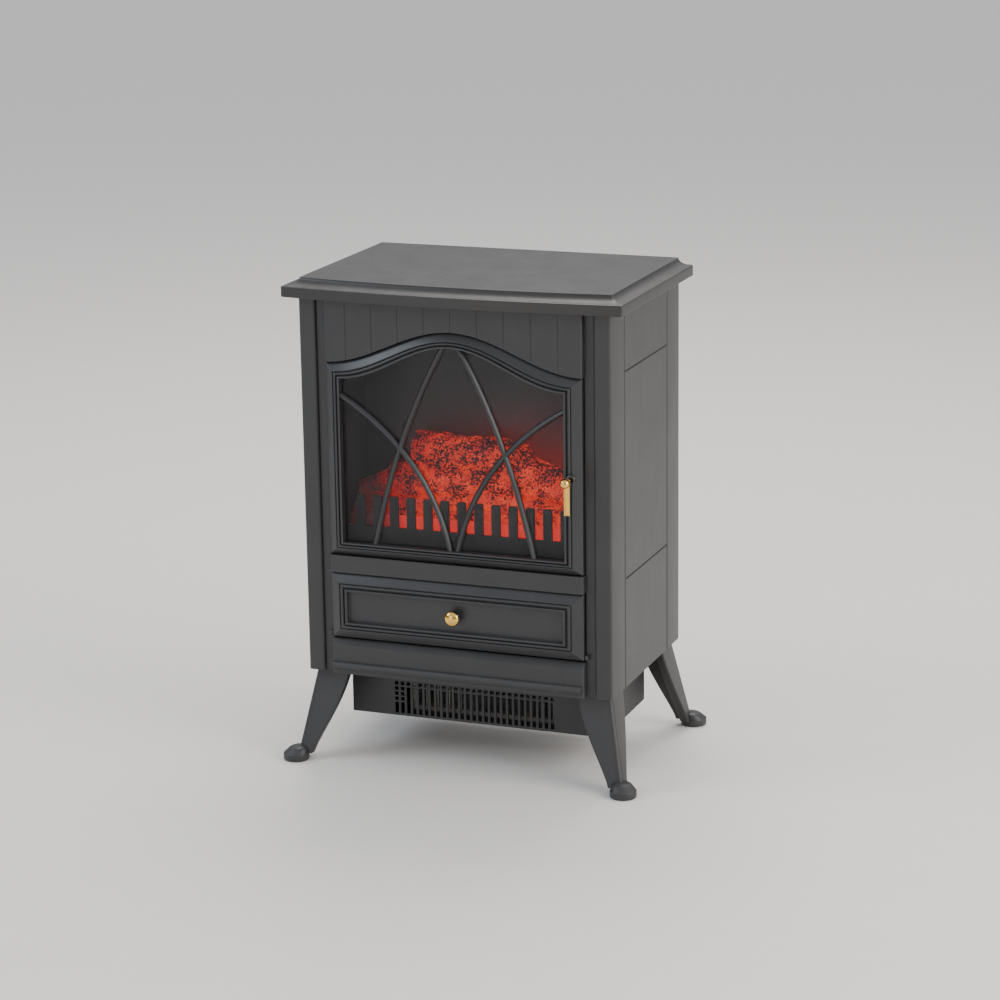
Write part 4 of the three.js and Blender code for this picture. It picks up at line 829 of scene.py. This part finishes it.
# %% Legs
ANKLE_HEIGHT, FOOT_RADIUS, FOOT_RIM, HOOF_LEAN, LEG_SPLAY = 15.0, 14.5, 8.0, 3.0, 18.8
TOP_CORNER_INSET = 34.0  # from the foot's outer edge to the leg's outer corner at the top
ANKLE_WING, WING_GROWTH, ANKLE_WALL = 17.5, 21.5, 10
leg_low, leg_high = extent("leg_front_right")
leg_top = leg_high[2]
foot_x, foot_y = leg_high[0] - FOOT_RADIUS, leg_low[1] + FOOT_RADIUS - body_middle_y
leg_corner = foot_x + FOOT_RADIUS - TOP_CORNER_INSET  # outer corner at the top
leg_setback = foot_x + foot_y  # how much nearer the middle the legs stand in Y than in X


def leg_skin(rows=72):
    """Sections (rows, n, 2) of an angle: the wing grows from ankle to top as t^0.75, eased at both ends.

    The outer corner moves out by splay (1 - t) and every section's corners are rounded.
    """
    t = np.linspace(0, 1, rows)
    eased = t**0.75
    eased = eased * eased * (3 - 2 * eased)
    wing, wall = ANKLE_WING + WING_GROWTH * eased, ANKLE_WALL - t
    zero = np.zeros_like(t)
    places = ((zero, zero), (wing, zero), (wing, wall), (wall, wall), (wall, wing), (zero, wing))
    corners = np.stack([np.stack(place, -1) for place in places], 1)
    path = rounded_path(corners, [6.5, 2.2, 1.2, 3.0, 1.2, 2.2], 9)
    outer = (leg_corner + LEG_SPLAY * (1 - t))[:, None]
    x, y = outer - path[..., 0], path[..., 1] - (outer - leg_setback)
    z = np.broadcast_to((ANKLE_HEIGHT / 2 + (leg_top - ANKLE_HEIGHT / 2) * t)[:, None], x.shape)
    return skin(np.stack([x, y, z], -1))


hoof = open_rounded([[0, 0], [13.2, 0], [FOOT_RADIUS, 1.3], [FOOT_RADIUS, FOOT_RIM - 0.4],
                     [13.7, FOOT_RIM + 0.4], [10.4, ANKLE_HEIGHT - 1.2], [7.0, ANKLE_HEIGHT],
                     [0, ANKLE_HEIGHT]],
                    [0, 0.8, 1.0, 0.9, 1.0, 1.8, 1.2, 0])
swing = np.linspace(0, 2 * np.pi, 64, endpoint=False)
lean = HOOF_LEAN * np.clip((hoof[:, 1:] - FOOT_RIM) / (ANKLE_HEIGHT - FOOT_RIM), 0, 1)
hoof_points = np.stack([foot_x - lean + hoof[:, :1] * np.cos(swing),
                        foot_y + lean + hoof[:, :1] * np.sin(swing),
                        np.broadcast_to(hoof[:, 1:], (len(hoof), len(swing)))], -1)
leg_points, leg_faces = together(leg_skin(), skin(hoof_points))
for end, y in (("front", 1), ("rear", -1)):
    for side, x in (("left", -1), ("right", 1)):
        placed = leg_points * [x, y, 1] + [0, body_middle_y, 0]
        make_piece(f"{end}_{side}_leg", (placed, leg_faces), "casing_black", "casing",
                   [f"leg_{end}_{side}"], crease=40)

# %% [markdown]
# ## Random but repeatable
# Logs and embers are uneven, so their surfaces need noise. A random number sits on every corner of a
# cubic grid and is blended between corners. The numbers come from the corner's own indices, so every
# run gives the same logs, and a whole array is worked out at once.

# %% Value noise
def value_noise(points, cell, seed):
    """Values in -1..1: corner numbers of a grid of side cell, blended with weights f^2 (3 - 2f)."""
    q = np.asarray(points, float) / cell
    base = np.floor(q).astype(np.int64)
    f = q - base
    f = f * f * (3 - 2 * f)
    total = np.zeros(q.shape[:-1])
    for corner in np.ndindex(2, 2, 2):
        c = base + corner
        mixed = c[..., 0] * 73856093 ^ c[..., 1] * 19349663 ^ c[..., 2] * 83492791 ^ seed * 2654435761
        mixed = (mixed ^ (mixed >> 13)) * 1274126177 & 0xFFFFFFFF
        number = ((mixed ^ (mixed >> 16)) & 0xFFFF) / 32767.5 - 1
        total += number * np.prod(np.where(corner, f, 1 - f), -1)
    return total


# %% [markdown]
# ## The logs
# The fuel bed is a heap of embers with logs lying on it. A log is a tapered cylinder: rows go along it
# and columns round it. Long ridges of bark, lumps and small chips move the surface in and out, and the
# ends close in with a few rings.

# %% Log surfaces
def log_skin(start, end, thick, thin, seed, rows=110, columns=120):
    """Circles of radius r(t) carried from start to end, with r moved by bark, lumps and chips.

    Bark is noise stretched five times along the log, lumps are broad noise, chips are fine noise.
    """
    start, end = np.array(start, float), np.array(end, float)
    length = np.linalg.norm(end - start)
    along = (end - start) / length
    side = np.cross(along, [0, 0, 1])
    side /= np.linalg.norm(side)
    top = np.cross(side, along)
    t = np.linspace(0, 1, rows)[:, None]
    angle = np.linspace(0, 2 * np.pi, columns, endpoint=False)
    radius = thick + (thin - thick) * t
    local = np.stack([np.broadcast_to(t * length, (rows, columns)),
                      radius * np.cos(angle), radius * np.sin(angle)], -1)
    bark = value_noise(local * [0.2, 1, 1], 4.5, seed)
    lumps = value_noise(local, 19.0, seed + 1)
    chips = value_noise(local, 3.2, seed + 2)
    radius = radius + 1.1 * bark + 2.4 * lumps + 0.55 * chips
    ring = np.clip(np.minimum(t, 1 - t) * (rows - 1) / 4, 0, 1) ** 0.5  # the last rings close the ends
    shut = ring * radius
    slide = np.where(t < 0.5, -1.0, 1.0) * (1 - ring) * 0.5
    points = start + along * (t * length)[..., None]
    points = np.broadcast_to(points, (rows, columns, 3)).copy()
    points += side * (shut * np.cos(angle))[..., None] + top * (shut * np.sin(angle))[..., None]
    points += along * (slide + 1.2 * (1 - ring) * value_noise(local, 5.0, seed + 3))[..., None]
    return skin(points)


bed_front, bed_back = log_low[1], log_high[1]
bed_half = log_high[0] - 1
floor_z = log_low[2]
LOGS = (  # start and end (x, depth behind the bed's front, height above the bed's floor), radii
    ("top_log", (-70, 33, 106), (64, 29, 103), 21.0, 19.0),
    ("middle_log", (-98, 26, 71), (96, 28, 76), 19.5, 18.0),
    ("left_log", (-124, 20, 52), (-44, 24, 88), 15.5, 17.0),
    ("right_log", (40, 27, 96), (126, 22, 70), 21.0, 20.0),
    ("front_right_log", (2, 17, 62), (124, 16, 44), 13.0, 15.0),
    ("front_left_log", (-122, 17, 40), (-6, 16, 50), 12.5, 13.5),
)
for index, (name, start, end, thick, thin) in enumerate(LOGS):
    ends = [np.array([x, bed_front + depth, floor_z + height]) for x, depth, height in (start, end)]
    shell = log_skin(*ends, thick, thin, 11 * index + 3)
    make_piece(name, shell, "log_resin", "casing", ["log_bed"] if index == 0 else (), crease=180)

# %% Ember heap
def carried_along_x(x, loop):
    """Points (len(x), len(loop), 3): a loop of (y, z) repeated at every x."""
    shape = (len(x), len(loop))
    return np.stack([np.broadcast_to(x[:, None], shape), np.broadcast_to(loop[:, 0], shape),
                     np.broadcast_to(loop[:, 1], shape)], -1)


t = np.linspace(-1, 1, 180)
heap = rounded_path([[bed_front + 2, floor_z], [bed_back - 1, floor_z], [bed_back - 1, floor_z + 62],
                     [bed_front + 26, floor_z + 66], [bed_front + 2, floor_z + 40]], [1, 1, 8, 12, 8], 20)
heap_points = carried_along_x(bed_half * t, heap)
loose = np.clip((heap_points[..., 2] - floor_z) / 12, 0, 1) * np.clip((1 - np.abs(t)) * 20, 0, 1)[:, None]
inward = 1.6 * value_noise(heap_points, 9, 71) + 0.8 * value_noise(heap_points, 3.5, 72)
heap_points[..., 2] += loose * inward
heap_points[..., 1] += loose * np.clip(inward, 0, 3)
make_piece("ember_heap", skin(heap_points), "log_resin", "casing", crease=180)

# %% Ember strip
strip_low, strip_high = extent("ember_strip")
x = np.linspace(strip_low[0], strip_high[0], 160)
loop = rounded_path([[strip_low[1] + 0.4, strip_low[2]], [strip_high[1], strip_low[2]],
                     [strip_high[1], strip_high[2]], [strip_low[1] + 0.4, strip_high[2]]], [0.3] * 4, 5)
strip_points = carried_along_x(x, loop)
strip_points[..., 1] += 0.35 * value_noise(strip_points, 11, 91)
make_piece("ember_bar", skin(strip_points), "ember_resin", "casing", ["ember_strip"])

# %% [markdown]
# ## The controls behind the flap
# Two dials and three rocker keys sit in a shallow tray. The rockers are softened copies. A dial is a
# fluted knob: its radius ripples round the rim, so the fingers can grip it, and a raised line on its
# face says where it points.

# %% Dials
def dial_skin(node_name):
    """Turned profile of radius r (1 + 0.035 cos(24 a)) near the rim, with a raised pointer bar on the cap."""
    low, high = extent(node_name)
    x, z = (low[0] + high[0]) / 2, (low[2] + high[2]) / 2
    radius, seat = (high[0] - low[0]) / 2, high[1] - 2.4
    height = seat - low[1] - 0.8
    profile = open_rounded([[0, 0], [radius, 0], [radius, 2.6], [radius * 0.8, 3.6],
                            [radius * 0.74, height - 0.8], [radius * 0.66, height], [0, height]],
                           [0, 0.3, 0.6, 0.6, 0.8, 0.8, 0])
    angle = np.linspace(0, 2 * np.pi, 192, endpoint=False)
    grip = np.clip((profile[:, 1:] - 3.2) / 1.0, 0, 1) * np.clip((height - profile[:, 1:]) / 0.6, 0, 1)
    r = profile[:, :1] * (1 + 0.035 * grip * np.cos(24 * angle))
    cap = np.stack([x + r * np.cos(angle), np.broadcast_to(seat - profile[:, 1:], r.shape),
                    z + r * np.sin(angle)], -1)
    bar = rounded_path([[x - 0.8, z + 0.5], [x + 0.8, z + 0.5], [x + 0.8, z + radius * 0.6],
                        [x - 0.8, z + radius * 0.6]], [0.4] * 4, 5)
    heights = np.array([0.4, -0.5, -0.8])
    shrink = np.array([0, 0, 0.2])
    middle = bar.mean(0)
    rings = middle + (bar - middle) * (1 - shrink[:, None, None] / 2)
    levels = np.broadcast_to((seat - height + heights)[:, None, None], (*rings.shape[:2], 1))
    pointer = np.concatenate([rings[..., :1], levels, rings[..., 1:]], -1)
    return together(skin(cap), skin(pointer))


make_piece("thermostat_knob", dial_skin("thermostat_dial"), "gloss_black", "thermostat_knob",
           ["thermostat_dial"])
make_piece("dimmer_knob", dial_skin("dimmer_dial"), "gloss_black", "dimmer_knob", ["dimmer_dial"])

# %% [markdown]
# ## The lead bush
# At the back the mains lead comes through a tapered bush. It is turned too, with a bore through it.

# %% Lead bush
bush_low, bush_high = extent("cord_gland")
bush_x, bush_z = (bush_low[0] + bush_high[0]) / 2, (bush_low[2] + bush_high[2]) / 2
bush_face = extent("rear_shell")[1][1] + FIT_GAP
inside = bush_face - bush_low[1]
bush = rounded_path([[3.6, 7], [6.0, 7], [10, 2.5], [10, 0], [7, 0], [7, -inside], [3.6, -inside]],
                    [0.5, 0.8, 0.6, 0.4, 0.1, 0.4, 0.3])
make_piece("lead_bush", turned(bush, (bush_x, bush_face, bush_z), facing=1, bored=True),
           "gloss_black", "casing", ["cord_gland"])

# %% Floor finish
pale_floor = finish("pale_floor", (0.80, 0.765, 0.72), 0.60, grain=(90.0, 0.5, 0.05), tone=0.02)
floor_mesh.materials.append(pale_floor)
